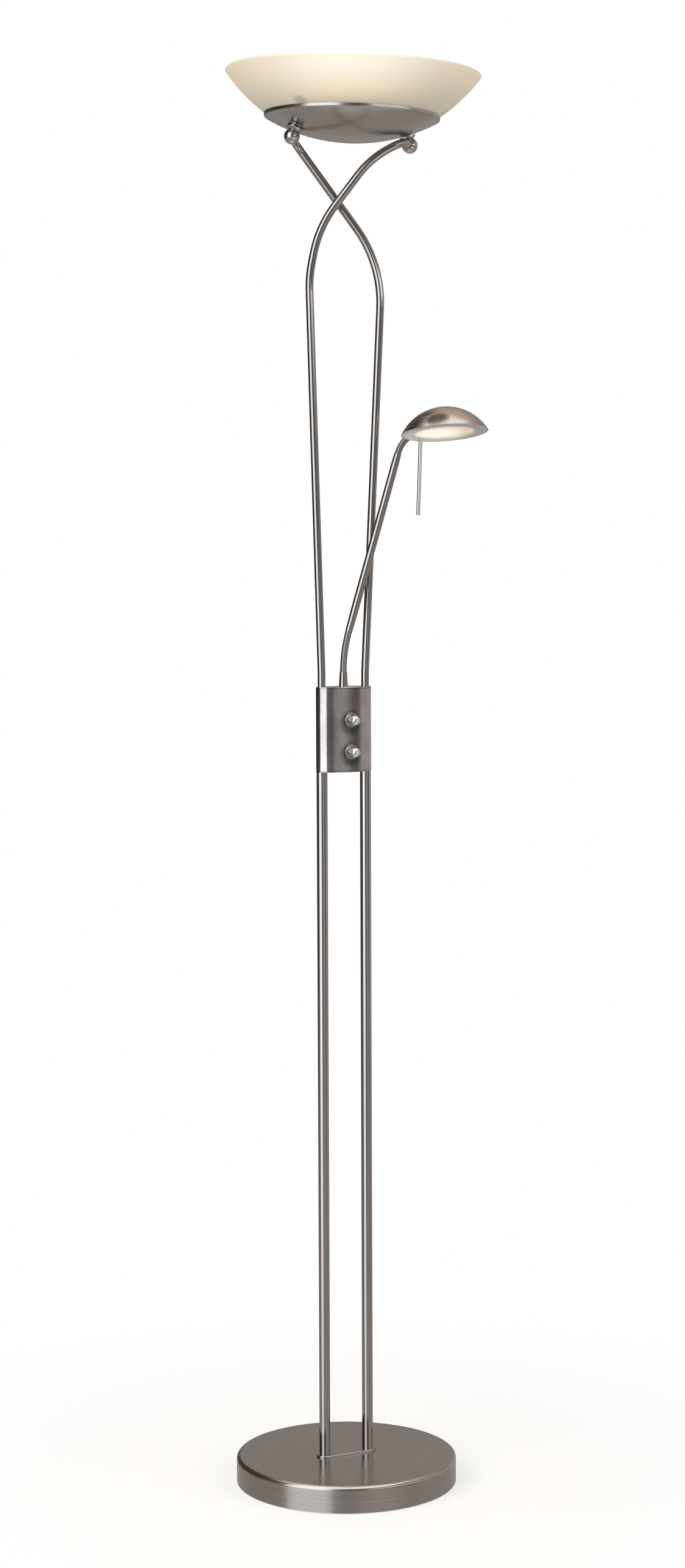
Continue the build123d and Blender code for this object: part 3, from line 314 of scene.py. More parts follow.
def nickel_strokes(recipe, inputs, fine_place, broad_place, roughness):
    """Fine and broad brushed strokes, and faint clouding of the plating."""
    fine = recipe.noise(fine_place, detail=4.0)
    wide = recipe.noise(broad_place)
    haze = recipe.noise(recipe.place(), scale=14.0, detail=2.0)
    shine = (fine * 0.4 + wide * 0.4 + haze * 0.2).smooth(0.28, 0.72)
    gloss = roughness + fine.sway(0.05) + wide.sway(0.05) + haze.sway(0.03)
    relief = recipe.bump(fine * 0.3 + wide * 0.7, strength=0.02, distance=0.0002)
    recipe.feed(inputs["Base Color"], recipe.blend(shine, NICKEL_DULL, NICKEL))
    recipe.feed(inputs["Roughness"], gloss)
    recipe.feed(inputs["Normal"], relief)


def nickel_upright(name, roughness):
    """Satin nickel brushed along Z."""
    material, recipe, inputs = surface(name, Metallic=1.0)
    fine, broad = recipe.place(UPRIGHT_FINE), recipe.place(UPRIGHT_BROAD)
    nickel_strokes(recipe, inputs, fine, broad, roughness)
    return material


def nickel_turned(name, node, roughness):
    """Satin nickel brushed in circles round a node's upright axis."""
    material, recipe, inputs = surface(name, Metallic=1.0)
    radius = recipe.away(middle(node), ROUND_THE_AXIS)
    height = recipe.height(recipe.place())
    fine, broad = (
        recipe.add("ShaderNodeCombineXYZ", {}, {0: radius * scale, 1: height * scale})
        for scale in (TURNED_FINE, TURNED_BROAD)
    )
    nickel_strokes(recipe, inputs, fine, broad, roughness)
    return material


satin_upright = nickel_upright("satin_nickel_upright", roughness=0.09)
satin_base = nickel_turned("satin_nickel_base", "base_cover", roughness=0.21)
satin_dish = nickel_turned("satin_nickel_dish", "shade_dish", roughness=0.22)
satin_head = nickel_turned("satin_nickel_head", "head_dome", roughness=0.20)
print("brushed", satin_upright.name, satin_base.name, satin_dish.name, satin_head.name)

# %% [markdown]
# ## Satin nickel on bent and slanting tubes
# A bent tube is brushed along its own bends, so its strokes have no one direction in space. They
# could follow the tube's line, but they are finer than a pixel here, and a fine grain without
# direction gives the same soft mirror.

# %% Satin nickel on tubes
DRAWN_BRIGHT = (0.43, 0.40, 0.38)
DRAWN_DULL = (0.35, 0.325, 0.305)
DRAWN_GRAIN = (1100, 1100, 1100)


def nickel_drawn(name, roughness):
    """Satin nickel with an even grain."""
    material, recipe, inputs = surface(name, Metallic=1.0)
    grain = recipe.noise(recipe.place(DRAWN_GRAIN))
    haze = recipe.noise(recipe.place(), scale=22.0)
    shine = grain * 0.5 + haze * 0.5
    recipe.feed(inputs["Base Color"], recipe.blend(shine, DRAWN_DULL, DRAWN_BRIGHT))
    recipe.feed(inputs["Roughness"], roughness + grain.sway(0.04) + haze.sway(0.04))
    recipe.feed(inputs["Normal"], recipe.bump(grain, strength=0.03, distance=0.0001))
    return material


satin_tubes = nickel_drawn("satin_nickel_tubes", roughness=0.10)
print("drawn", satin_tubes.name)

# %% [markdown]
# ## The switch box's front
# The front cover shows its brushing most, in streaks that differ in brightness. Round and under
# each bezel, which stands proud and keeps light off the cover, shade is painted into the cover's
# colour. That painted shade is a soft step of the distance from a point just under the bezel's
# middle, so it stays with the cover in any light.

# %% Satin nickel on the box front
BOX_BRIGHT = (0.54, 0.502, 0.48)
BOX_DULL = (0.38, 0.351, 0.334)
BOX_PAINTED_SHADE = (0.10, 0.09, 0.085)
BOX_FINE = (1400, 1400, 10)
BOX_BROAD = (420, 420, 5)
BOX_CLOUDS = (1, 1, 0.6)
BEZEL_PAINTED_SHADE_DROP = 0.0035
BEZEL_PAINTED_SHADE_REACH = (0.009, 0.019)
BEZEL_PAINTED_SHADE_DEPTH = 0.75


def nickel_box(name, roughness):
    """Upright strokes with more contrast, and painted shade round and under each bezel."""
    material, recipe, inputs = surface(name, Metallic=1.0)
    fine = recipe.noise(recipe.place(BOX_FINE), detail=4.0)
    wide = recipe.noise(recipe.place(BOX_BROAD), detail=4.0)
    haze = recipe.noise(recipe.place(BOX_CLOUDS), scale=38.0)
    shine = (fine * 0.3 + wide * 0.4 + haze.smooth(0.3, 0.7) * 0.3).smooth(0.25, 0.75)
    gloss = roughness + fine.sway(0.06) + wide.sway(0.08) + haze.sway(0.06)
    # Painted shade round and under each bezel, darkest just under its middle.
    drop = Vector((0, 0, BEZEL_PAINTED_SHADE_DROP))
    off_upper, off_lower = (
        recipe.away(middle(bezel) - drop).smooth(*BEZEL_PAINTED_SHADE_REACH)
        for bezel in ("upper_bezel", "lower_bezel")
    )
    painted_bezel_shade = (1 - off_upper * off_lower) * BEZEL_PAINTED_SHADE_DEPTH
    cover = recipe.blend(shine, BOX_DULL, BOX_BRIGHT)
    relief = recipe.bump(fine * 0.3 + wide * 0.7, strength=0.03, distance=0.0002)
    recipe.feed(inputs["Base Color"], recipe.blend(painted_bezel_shade, cover, BOX_PAINTED_SHADE))
    recipe.feed(inputs["Roughness"], gloss)
    recipe.feed(inputs["Normal"], relief)
    return material


satin_box = nickel_box("satin_nickel_box", roughness=0.10)
print("box front", satin_box.name)

# %% [markdown]
# ## Polished metal
# The knobs are chromed. The balls under the dish, the handle rod and the glass clips are bright
# metal, and the bezels and the balls' collars are a shade duller. Polished metal is almost a
# mirror, so nearly all of its look is what it reflects. A trace of wiping marks keeps it from
# looking computed.

# %% Polished metal
def polished(name, colour, roughness):
    """Mirror-like plating with faint wiping marks."""
    material, recipe, inputs = surface(name, Metallic=1.0, Base_Color=colour)
    marks = recipe.noise(recipe.place(), scale=260.0)
    recipe.feed(inputs["Roughness"], roughness + marks * 0.05)
    return material


chrome = polished("polished_chrome", (0.74, 0.745, 0.76), roughness=0.05)
satin_bezel = polished("satin_bezel", (0.40, 0.385, 0.375), roughness=0.18)
bright_nickel = polished("bright_nickel", (0.47, 0.44, 0.425), roughness=0.10)
handle_steel = polished("polished_handle", (0.50, 0.47, 0.45), roughness=0.10)
clip_steel = polished("bright_spring_steel", (0.80, 0.80, 0.80), roughness=0.15)
print("polished", chrome.name, satin_bezel.name, bright_nickel.name)
print("and", handle_steel.name, clip_steel.name)

# %% [markdown]
# ## Plain metals inside
# The iron weight, plates, studs, nuts and brackets are seldom seen, but a lamp that is turned over
# or opened shows them. Zinc plating is pale and slightly blotchy; cast iron is dark and grainy.

# %% Zinc and iron
ZINC_TONES = ((0.50, 0.51, 0.52), (0.68, 0.68, 0.66))
IRON_TONES = ((0.035, 0.034, 0.033), (0.10, 0.097, 0.093))


def zinc_plate():
    material, recipe, inputs = surface("zinc_plated_steel", Metallic=1.0)
    blotch = recipe.noise(recipe.place(), scale=90.0, detail=4.0)
    recipe.feed(inputs["Base Color"], recipe.blend(blotch, *ZINC_TONES))
    recipe.feed(inputs["Roughness"], 0.32 + blotch * 0.15)
    return material


def cast_iron():
    material, recipe, inputs = surface("cast_iron", Metallic=0.6)
    grain = recipe.noise(recipe.place(), scale=600.0, detail=5.0)
    recipe.feed(inputs["Base Color"], recipe.blend(grain, *IRON_TONES))
    recipe.feed(inputs["Roughness"], 0.65 + grain * 0.2)
    recipe.feed(inputs["Normal"], recipe.bump(grain, strength=0.5, distance=0.0006))
    return material


zinc = zinc_plate()
iron = cast_iron()
print("inner metals", zinc.name, iron.name)

# %% [markdown]
# ## The reading head's ring
# The flat ring under the small dome is satin too, but it lies in the light of its own lamp, which
# makes its inner edge brighter and warmer. A lamp inside the head would give that as well, but with
# much noise. Instead that light is painted into the ring's emission: a painted glow that falls off
# softly with the distance from the capsule, which is clean and travels with the head.

# %% Ring under the head
CAPSULE = middle("capsule_lamp")
RING_TONES = ((0.50, 0.52, 0.55), (0.58, 0.60, 0.63))
RING_GRAIN = (900, 900, 900)
RING_PAINTED_LIGHT = ((0.23, 0.21, 0.19), (0.05, 0.055, 0.065))
RING_PAINTED_LIGHT_REACH = (0.036, 0.056)


def ring_finish():
    material, recipe, inputs = surface(
        "satin_ring", Metallic=1.0, Roughness=0.34, Emission_Strength=1.0
    )
    grain = recipe.noise(recipe.place(RING_GRAIN))
    # Painted light of the capsule: outward is 0 at the ring's inner edge, where the painted glow is
    # strongest, and 1 farther out.
    outward = recipe.away(CAPSULE).smooth(*RING_PAINTED_LIGHT_REACH)
    recipe.feed(inputs["Base Color"], recipe.blend(grain, *RING_TONES))
    recipe.feed(inputs["Emission Color"], recipe.blend(outward, *RING_PAINTED_LIGHT))
    return material


ring_metal = ring_finish()
print("capsule at", [round(value, 3) for value in CAPSULE])

# %% [markdown]
# ## Frosted glass
# The bowl is pressed glass with an acid-frosted skin, lit from inside by the halogen lamp. Light
# scatters in it, so it glows cream where the lamp's long side faces it and turns grey-green toward
# the lower edge, and a bowl clamp close behind the glass casts a dim shadow on it. Simulating the
# scattering is slow and noisy, so all three are painted: a pale rough surface with a painted glow
# written from a line through the lamp, painted shade toward the lower edge in both its colour and
# its glow, and a painted clamp shadow. This is quick, and stays in place when it is seen from
# another side. That line is turned 22.5 degrees from the lamp itself, which fits the photograph
# better.

# %% Where the bowl glows
LAMP_CENTRE = middle("halogen_tube")
LAMP_LINE = radians(-5.5)
GLOW_LINE = radians(-28)
GLOW_FACING = Vector((-sin(GLOW_LINE), cos(GLOW_LINE), 0))
BOWL_LOW, BOWL_HIGH = (Vector(corner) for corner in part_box("glass_bowl"))
BOWL_CENTRE = (BOWL_LOW + BOWL_HIGH) / 2
CLAMP_TURNS = (94, 214, 334)
CLAMP_REACH = 0.1128
CLAMP_LIFT = 0.0148
CLAMP_PAINTED_SHADOW_REACH = (0.003, 0.014)


def clamp_shadow_spot(turn):
    """Where a clamp's painted shadow lies on the glass, so many degrees round from the lamp's line.
    """
    angle = LAMP_LINE + radians(turn)
    x = BOWL_CENTRE.x + CLAMP_REACH * cos(angle)
    y = BOWL_CENTRE.y + CLAMP_REACH * sin(angle)
    return Vector((x, y, BOWL_LOW.z + CLAMP_LIFT))


clamp_shadow_spots = [clamp_shadow_spot(turn) for turn in CLAMP_TURNS]
print("clamp spots", [[round(value, 3) for value in spot] for spot in clamp_shadow_spots])

# %% Glass bowl
GLASS_COLOUR_AND_PAINTED_SHADE = ((0.50, 0.455, 0.36), (0.56, 0.49, 0.38))
GLASS_CLAMP_PAINTED_SHADOW = (0.20, 0.23, 0.17)
GLASS_HAZE = (0.60, 0.58, 0.50)
SKIN_PAINTED_GLOW = ((0.14, 0.134, 0.106), (0.30, 0.24, 0.17))
HEART_PAINTED_GLOW = ((0.50, 0.40, 0.27), (0.58, 0.56, 0.50))
BODY_RISE = (0.0, 0.85)
GLOW_RISE = (0.04, 0.42)
HEART_RISE = (0.25, 0.8)
GLOW_NARROWING = 4


def bowl_glass():
    """Pale frosted glass with a painted glow, brightest where the glow's line faces it squarely,
    and painted shade toward its lower edge.
    """
    material, recipe, inputs = surface(
        "frosted_bowl_glass", Roughness=0.42, IOR=1.45, Emission_Strength=1.0
    )
    from_foot = recipe.place(shift=(0, 0, BOWL_LOW.z))
    height = recipe.height(from_foot) / (BOWL_HIGH.z - BOWL_LOW.z)
    lift = height.smooth(*BODY_RISE)
    from_lamp = recipe.place(ROUND_THE_AXIS, LAMP_CENTRE)
    facing = recipe.vector("DOT_PRODUCT", from_lamp, GLOW_FACING, output=1)
    reach = recipe.vector("LENGTH", from_lamp, output=1)
    glow = (facing / reach) ** GLOW_NARROWING * height.smooth(*GLOW_RISE)
    # Painted shadow of the three clamps: clear is 0 on the glass close to a clamp and 1 elsewhere,
    # and it darkens both the colour and the glow.
    first, second, third = (
        recipe.away(spot).smooth(*CLAMP_PAINTED_SHADOW_REACH) for spot in clamp_shadow_spots
    )
    clear = first * second * third

    # Painted shade: the glass's colour and its painted glow get darker toward the lower edge.
    body = recipe.blend(lift, *GLASS_COLOUR_AND_PAINTED_SHADE)
    body = recipe.blend((1 - clear) * 0.7, body, GLASS_CLAMP_PAINTED_SHADOW)
    haze = recipe.noise(recipe.place(), scale=9.0)
    skin = recipe.blend(lift, *SKIN_PAINTED_GLOW)
    heart = recipe.blend(height.smooth(*HEART_RISE), *HEART_PAINTED_GLOW)
    frost = recipe.noise(recipe.place(), scale=1500.0, detail=2.0)
    recipe.feed(inputs["Base Color"], recipe.blend(haze * 0.12, body, GLASS_HAZE))
    recipe.feed(inputs["Emission Color"], recipe.blend(glow * clear, skin, heart))
    recipe.feed(inputs["Normal"], recipe.bump(frost, strength=0.12, distance=0.0003))
    return material


frosted_bowl = bowl_glass()
print("bowl", [round(value, 3) for value in BOWL_HIGH - BOWL_LOW])

# %% [markdown]
# ## Lamps and their holders
# The halogen lamp, the capsule and the disc in front of it are the bright things. Both lamps are
# lit, so their quartz glows evenly and no filament shows. The disc is no lamp: it has a painted
# glow, white over the capsule and cream toward its rim, where light reaches it at a slant, and
# painted shade darkens its colour toward the rim. The holders are white ceramic, slightly glossy.

# %% Lit disc, quartz and ceramic
DISC_COLOUR_AND_PAINTED_SHADE = ((0.62, 0.60, 0.55), (0.50, 0.43, 0.35))
DISC_PAINTED_GLOW = ((0.70, 0.67, 0.60), (0.60, 0.53, 0.42))
DISC_RIM_PAINTED_GLOW = (0.50, 0.38, 0.25)
DISC_RIM_REACH = (0.018, 0.040)
QUARTZ_BODY = ((0.93, 0.93, 0.92), (0.99, 0.98, 0.95))
QUARTZ_GLOW = ((0.78, 0.68, 0.50), (0.88, 0.80, 0.64))
CERAMIC_TONES = ((0.78, 0.76, 0.71), (0.88, 0.87, 0.83))


def lit_disc():
    material, recipe, inputs = surface("lit_head_glass", Roughness=0.5, Emission_Strength=1.0)
    # Painted light: rim sets the disc's painted glow and painted shade, falling off from the
    # capsule.
    rim = recipe.away(CAPSULE).smooth(*DISC_RIM_REACH)
    ripple = recipe.noise(recipe.place(), scale=60.0)
    pale = recipe.blend(ripple * 0.4, *DISC_PAINTED_GLOW)
    recipe.feed(inputs["Base Color"], recipe.blend(rim, *DISC_COLOUR_AND_PAINTED_SHADE))
    recipe.feed(inputs["Emission Color"], recipe.blend(rim, pale, DISC_RIM_PAINTED_GLOW))
    return material


def quartz():
    material, recipe, inputs = surface(
        "quartz", Roughness=0.03, IOR=1.46, Transmission_Weight=0.9, Emission_Strength=1.0
    )
    smoke = recipe.noise(recipe.place(), scale=120.0, detail=2.0)
    recipe.feed(inputs["Base Color"], recipe.blend(smoke, *QUARTZ_BODY))
    recipe.feed(inputs["Emission Color"], recipe.blend(smoke, *QUARTZ_GLOW))
    return material


def ceramic():
    material, recipe, inputs = surface("white_ceramic", Roughness=0.38)
    speck = recipe.noise(recipe.place(), scale=800.0, detail=4.0)
    recipe.feed(inputs["Base Color"], recipe.blend(speck, *CERAMIC_TONES))
    return material


disc_glass = lit_disc()
lit_quartz = quartz()
white_ceramic = ceramic()
print("lamps", disc_glass.name, lit_quartz.name, white_ceramic.name)

# %% [markdown]
# ## Felt, rubber and moulded plastic
# The ring the lamp stands on is black felt, with fibres that catch light at a slant, so it has
# sheen. The grommet and the ring under the glass are rubber, and the dimmers are black moulded
# plastic. All three are one recipe, dark with a grain, in three coarsenesses.

# %% Felt, rubber, plastic
GRAIN_CONTRAST = 1.9


def soft_black(name, colour, roughness, scale, relief, sheen=0.0):
    """A dark matt material with a grain."""
    material, recipe, inputs = surface(name, Sheen_Weight=sheen)
    grain = recipe.noise(recipe.place(), scale, detail=5.0)
    paler = tuple(channel * GRAIN_CONTRAST for channel in colour)
    recipe.feed(inputs["Base Color"], recipe.blend(grain, colour, paler))
    recipe.feed(inputs["Roughness"], roughness + grain * 0.1)
    recipe.feed(inputs["Normal"], recipe.bump(grain, relief, distance=0.0004))
    return material


felt = soft_black(
    "black_felt", (0.020, 0.020, 0.022), roughness=0.88, scale=1900.0, relief=0.8, sheen=0.3
)
rubber = soft_black(
    "black_rubber", (0.018, 0.018, 0.018), roughness=0.60, scale=500.0, relief=0.2
)
plastic = soft_black(
    "black_moulding", (0.022, 0.022, 0.024), roughness=0.42, scale=900.0, relief=0.1
)
print("blacks", felt.name, rubber.name, plastic.name)

# %% [markdown]
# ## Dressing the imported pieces
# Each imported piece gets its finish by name. A table keeps that in one place, and the line printed
# under it shows that no piece is left in the plain grey it came with. The halves of the necks
# aren't in the table, because they are replaced further down.

# %% Which piece has which finish
FINISHES = {
    satin_upright: [
        "left_pole", "right_pole", "box_rear_cover", "box_top_plate", "box_bottom_plate",
    ],
    satin_box: ["box_front_cover"],
    satin_tubes: ["front_upper_tube", "rear_upper_tube", "arm_tube", "arm_ferrule"],
    satin_base: ["base_cover", "foot_plate"],
    satin_dish: ["shade_dish"],
    satin_head: ["head_dome"],
    chrome: ["upper_knob", "lower_knob"],
    satin_bezel: ["upper_bezel", "lower_bezel", "ball_collars"],
    bright_nickel: ["left_ball", "right_ball"],
    handle_steel: ["handle_rod"],
    clip_steel: ["glass_clips"],
    ring_metal: ["head_ring"],
    zinc: [
        "base_plate", "base_spacers", "base_screws", "foot_studs", "foot_washers", "foot_nuts",
        "pole_head_studs", "ring_nuts", "box_chassis", "cover_screws", "tube_nipples",
        "ball_studs", "dish_nuts", "bowl_clamps", "lamp_brackets", "head_socket",
        "upper_knob_shaft", "lower_knob_shaft",
    ],
    iron: ["base_weight"],
    frosted_bowl: ["glass_bowl"],
    disc_glass: ["head_glass"],
    lit_quartz: ["halogen_tube", "capsule_lamp"],
    white_ceramic: ["lampholders", "halogen_caps", "capsule_holder"],
    felt: ["base_pad"],
    rubber: ["cord_grommet", "seat_ring"],
    plastic: ["upper_dimmer", "lower_dimmer", "terminal_block"],
}
LOWER_HALVES = ("lower_neck_a", "lower_neck_b")
UPPER_HALVES = ("upper_neck_a", "upper_neck_b")

for finish, names in FINISHES.items():
    for name in names:
        nodes[name].data.materials.clear()
        nodes[name].data.materials.append(finish)
dressed = {name for names in FINISHES.values() for name in names}
bare = set(nodes) - dressed - {*LOWER_HALVES, *UPPER_HALVES}
print("dressed", len(dressed), "of", len(nodes), "bare", sorted(bare))

# %% [markdown]
# ## Wound necks
# A flexible neck is two wires wound together: a round one that makes the ribs and a thin wedge
# between. What shows is a tight screw thread of rounded ribs. It is built as a tube whose radius
# rises and falls along a helix, on the neck's own arc, in two halves, each along its own half of
# the arc. A stack of separate rings would be simpler, but its ribs wouldn't slant.

# %% The neck's arc
NECK_SIDES = 40
STEPS_PER_RIB = 20


def arc_point(start, tangent, bend_axis, turn, length, share):
    """Point and direction a share of the way along a neck's arc."""
    radius = length / turn
    inward = bend_axis.cross(tangent)
    angle = turn * share
    point = start + tangent * (radius * sin(angle)) + inward * (radius * (1 - cos(angle)))
    return point, tangent * cos(angle) + inward * sin(angle)


print("points round a neck", NECK_SIDES, "and along a rib", STEPS_PER_RIB)

# %% [markdown]
# ## The winding itself
# The helix comes from one number: the phase of a point grows along the neck and falls round it, so
# the crest moves round as it climbs. The square root of its sine is round at the crest and sharp in
# the groove, as a wound wire is.

# %% Winding
def rib_ring(mesh, arc, share, step, radius, depth):
    """One ring of points round the arc, on the crests and grooves of the helix."""
    bend_axis = arc[2]
    point, direction = arc_point(*arc, share)
    across = bend_axis.cross(direction)
    ring = []
    for side in range(NECK_SIDES):
        angle = 2 * pi * side / NECK_SIDES
        phase = pi * (step / STEPS_PER_RIB - side / NECK_SIDES)
        swell = sqrt(abs(sin(phase)))
        reach = radius - depth * (1 - swell)
        outward = bend_axis * cos(angle) + across * sin(angle)
        ring.append(mesh.verts.new(point + outward * reach))
    return ring


def winding(name, arc, first, last, ribs, radius, depth):
    """Mesh of part of a neck, from one share of its arc to another."""
    mesh = bmesh.new()
    steps = ribs * STEPS_PER_RIB
    rings = [
        rib_ring(mesh, arc, first + (last - first) * step / steps, step, radius, depth)
        for step in range(steps + 1)
    ]
    for low, high in zip(rings, rings[1:]):
        for side in range(NECK_SIDES):
            after = (side + 1) % NECK_SIDES
            mesh.faces.new((low[side], low[after], high[after], high[side]))
    mesh.faces.new(list(reversed(rings[0])))
    mesh.faces.new(rings[-1])
    bmesh.ops.recalc_face_normals(mesh, faces=mesh.faces)
    for face in mesh.faces:
        face.smooth = len(face.verts) == 4
    data = bpy.data.meshes.new(name)
    mesh.to_mesh(data)
    mesh.free()
    piece = bpy.data.objects.new(name, data)
    scene.collection.objects.link(piece)
    return piece


print("a rib has", NECK_SIDES * STEPS_PER_RIB, "faces")

# %% [markdown]
# ## The finish of the necks
# The wound wire is steel with thin plating, darker than the tubes, and worn unevenly by bending.
# Its ribs are real geometry, so the finish needs no relief of its own.

# %% Wound steel
WIRE_TONES = ((0.21, 0.20, 0.19), (0.34, 0.32, 0.305))


def wound_steel():
    material, recipe, inputs = surface("wound_steel", Metallic=1.0)
    wear = recipe.noise(recipe.place(), scale=420.0, detail=4.0)
    recipe.feed(inputs["Base Color"], recipe.blend(wear, *WIRE_TONES))
    recipe.feed(inputs["Roughness"], 0.20 + wear * 0.12)
    return material


neck_steel = wound_steel()
print("necks in", neck_steel.name)

# %% [markdown]
# ## Placing the two necks
# The lower neck starts on the ferrule, the arm tube carries its direction on, and the upper neck
# starts where the arm ends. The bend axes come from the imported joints, so the necks follow the
# model instead of repeating its numbers.

# %% The two necks
LOWER_NECK = {
    "length": 0.052, "turn": radians(15.66), "radius": 0.0043, "depth": 0.00055, "ribs": 9,
}
UPPER_NECK = {
    "length": 0.0368, "turn": radians(69.92), "radius": 0.0041, "depth": 0.0005, "ribs": 11,
}
ARM_LENGTH = 0.2322
UP = Vector((0, 0, 1))


def make_neck(size, start, tangent, bend_axis, halves):
    """Both halves of a neck, each built along its half of the arc; returns its far end."""
    arc = (start, tangent, bend_axis, size["turn"], size["length"])
    thread = (size["ribs"], size["radius"], size["depth"])
    for half, old in enumerate(halves):
        first, last = half / 2, (half + 1) / 2
        piece = winding(f"{old}_winding", arc, first, last, *thread)
        piece.data.materials.append(neck_steel)
        arc_point(*arc, first)[0]
        arc_point(*arc, last)[0]
        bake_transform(piece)
        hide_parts(old)
        print(piece.name, "ribs", size["ribs"], "vertices", len(piece.data.vertices))
    return arc_point(*arc, 1.0)


ferrule_top = Vector((0, 0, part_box("arm_ferrule")[1].z))
lower_axis = Vector(joints["arm_lean"]["axis"])
upper_axis = Vector(joints["head_nod"]["axis"])
arm_start, arm_direction = make_neck(
    LOWER_NECK, ferrule_top, UP, lower_axis, LOWER_HALVES
)
neck_start = arm_start + arm_direction * ARM_LENGTH
make_neck(UPPER_NECK, neck_start, arm_direction, upper_axis, UPPER_HALVES)
print("arm from", [round(value, 3) for value in arm_start])

# %% [markdown]
# ## Floor
# The photograph stands on clean white. A small pale disc under the lamp carries its soft shadow. A
# glow that only the camera's rays see lifts it to white and fades it into the white surroundings,
# because more light on the floor would also be more light on the lamp.

# %% Floor
FLOOR_RADIUS = 0.9
FLOOR_SIDES = 96
FLOOR_GAP = 0.0002
FLOOR_COLOUR = (0.46, 0.44, 0.42)
FLOOR_ROUGHNESS = 0.9
FLOOR_GLOW = 0.62
FLOOR_FADE = (0.25, FLOOR_RADIUS * 0.95)
WHITE = (1, 1, 1)


def floor_material():
    """Matt floor, which the camera's rays see lifted to white and faded out."""
    material = bpy.data.materials.new("pale_floor")
    material.use_nodes = True
    recipe = Recipe(material.node_tree)
    matt = recipe.add("ShaderNodeBsdfPrincipled", {}, {
        "Base Color": FLOOR_COLOUR, "Roughness": FLOOR_ROUGHNESS, "Specular IOR Level": 0.0,
    })
    glow = recipe.add("ShaderNodeEmission", {}, {"Color": WHITE, "Strength": FLOOR_GLOW})
    full = recipe.add("ShaderNodeEmission", {}, {"Color": WHITE, "Strength": 1.0})
    fade = recipe.away((0, 0, 0)).smooth(*FLOOR_FADE)
    seen, _ = recipe.ray_masks()
    lifted = recipe.add("ShaderNodeAddShader", {}, {0: matt, 1: glow})
    faded = recipe.add("ShaderNodeMixShader", {}, {0: fade, 1: lifted, 2: full})
    shown = recipe.add("ShaderNodeMixShader", {}, {0: seen, 1: matt, 2: faded})
    recipe.add("ShaderNodeOutputMaterial", {}, {"Surface": shown})
    return material


floor_mesh = bmesh.new()
bmesh.ops.create_circle(floor_mesh, cap_ends=True, segments=FLOOR_SIDES, radius=FLOOR_RADIUS)
floor_data = bpy.data.meshes.new("floor")
floor_mesh.to_mesh(floor_data)
floor_mesh.free()
floor = bpy.data.objects.new("floor", floor_data)
floor.location.z = CAD_BOX[0][2] - FLOOR_GAP
floor.data.materials.append(floor_material())
floor.visible_glossy = False
scene.collection.objects.link(floor)
print("floor radius", FLOOR_RADIUS)

# %% [markdown]
# ## Studio
# Metal shows what stands around it, so the studio is written down as tones by compass direction and
# height, seen from the lamp. Compass 0 is toward the camera, and minus is the picture's left. This
# is the ring of walls at the lamp's height: dark and brown at the left, grey in front, and pale
# taupe from the right round to the back. Real panels round the lamp would do as well, but they
# would cast light and shadow on everything else too.

# %% Tones of the walls
WALL_TONES = [
    (-180, (0.34, 0.32, 0.30)),
    (-150, (0.16, 0.13, 0.12)),
    (-126, (0.05, 0.04, 0.035)),
    (-98, (0.08, 0.065, 0.06)),
    (-80, (0.15, 0.125, 0.115)),
    (-66, (0.15, 0.12, 0.11)),
    (-14, (0.32, 0.33, 0.35)),
    (-3, (0.20, 0.20, 0.205)),
    (8, (0.20, 0.195, 0.20)),
    (14, (0.36, 0.35, 0.36)),
    (33, (0.53, 0.52, 0.52)),
    (46, (0.41, 0.40, 0.41)),
    (60, (0.18, 0.175, 0.17)),
    (69, (0.18, 0.17, 0.165)),
    (77, (0.30, 0.27, 0.27)),
    (80, (0.50, 0.46, 0.45)),
    (90, (0.56, 0.52, 0.50)),
    (150, (0.52, 0.48, 0.47)),
    (180, (0.34, 0.32, 0.30)),
]
print("wall tones", len(WALL_TONES))

# %% [markdown]
# ## What else stands in the studio
# A tall white softbox stands front left, and at the right there are a white card and a second one
# low down. The wall between them and the softbox is darker above the level. White hangs over the
# front and straight above. Behind, the wall turns tan higher up, and a dark cloth hangs at its
# left. Each thing has a tone and a place. A compass is its low end, high end and softness in
# degrees, and a height is the same for the upright part of a direction, where 0 is level and 1
# straight up. A rise, a fall, a foot, a top or sides say where a tone starts and where it is full.

# %% Panels, cloth and floor
GAP_TONE, GAP_SHARE = (0.12, 0.115, 0.12), 0.75
GAP_COMPASS, GAP_RISE = (2, 46, 6), (-0.035, 0.015)
FLOOR_TONE, FLOOR_FALL = (0.43, 0.395, 0.37), (0.08, 0.34)
FOOT_TONE, FOOT_FALL = (0.95, 0.92, 0.90), (0.80, 1.0)
BACK_TONE, BACK_RISE = (0.41, 0.375, 0.355), (0.12, 0.45)
BACK_SIDES = (104, 132)
TAN_TONE, TAN_RISE = (1.08, 0.78, 0.55), (0.42, 0.94)
CLOTH_TONE, CLOTH_SHARE = (0.075, 0.055, 0.045), 0.97
CLOTH_COMPASS, CLOTH_HEIGHT = (-168, -110, 10), (0.10, 0.78, 0.14)
CEILING_TONE, CEILING_RISE = (1.85, 1.80, 1.76), (0.90, 0.995)
FRONT_TONE, FRONT_SOFT = (1.85, 1.86, 1.88), 0.22
FRONT_EDGE, FRONT_EDGE_RISE, FRONT_EDGE_SIDES = 0.50, 0.18, (40, 80)
SOFTBOX_TONE, SOFTBOX_COMPASS = (2.05, 2.20, 2.30), (-64, -16, 2)
SOFTBOX_FOOT, SOFTBOX_TOP = (-0.50, -0.06), (0.80, 0.88)
CARD_TONE = (2.0, 2.03, 2.07)
CARD_COMPASS, CARD_HEIGHT = (24, 78, 5), (0.09, 0.27, 0.03)
LOW_CARD_TONE, LOW_CARD_SHARE = (1.5, 1.5, 1.52), 0.8
LOW_CARD_COMPASS, LOW_CARD_HEIGHT = (12, 66, 7), (-0.66, -0.41, 0.04)
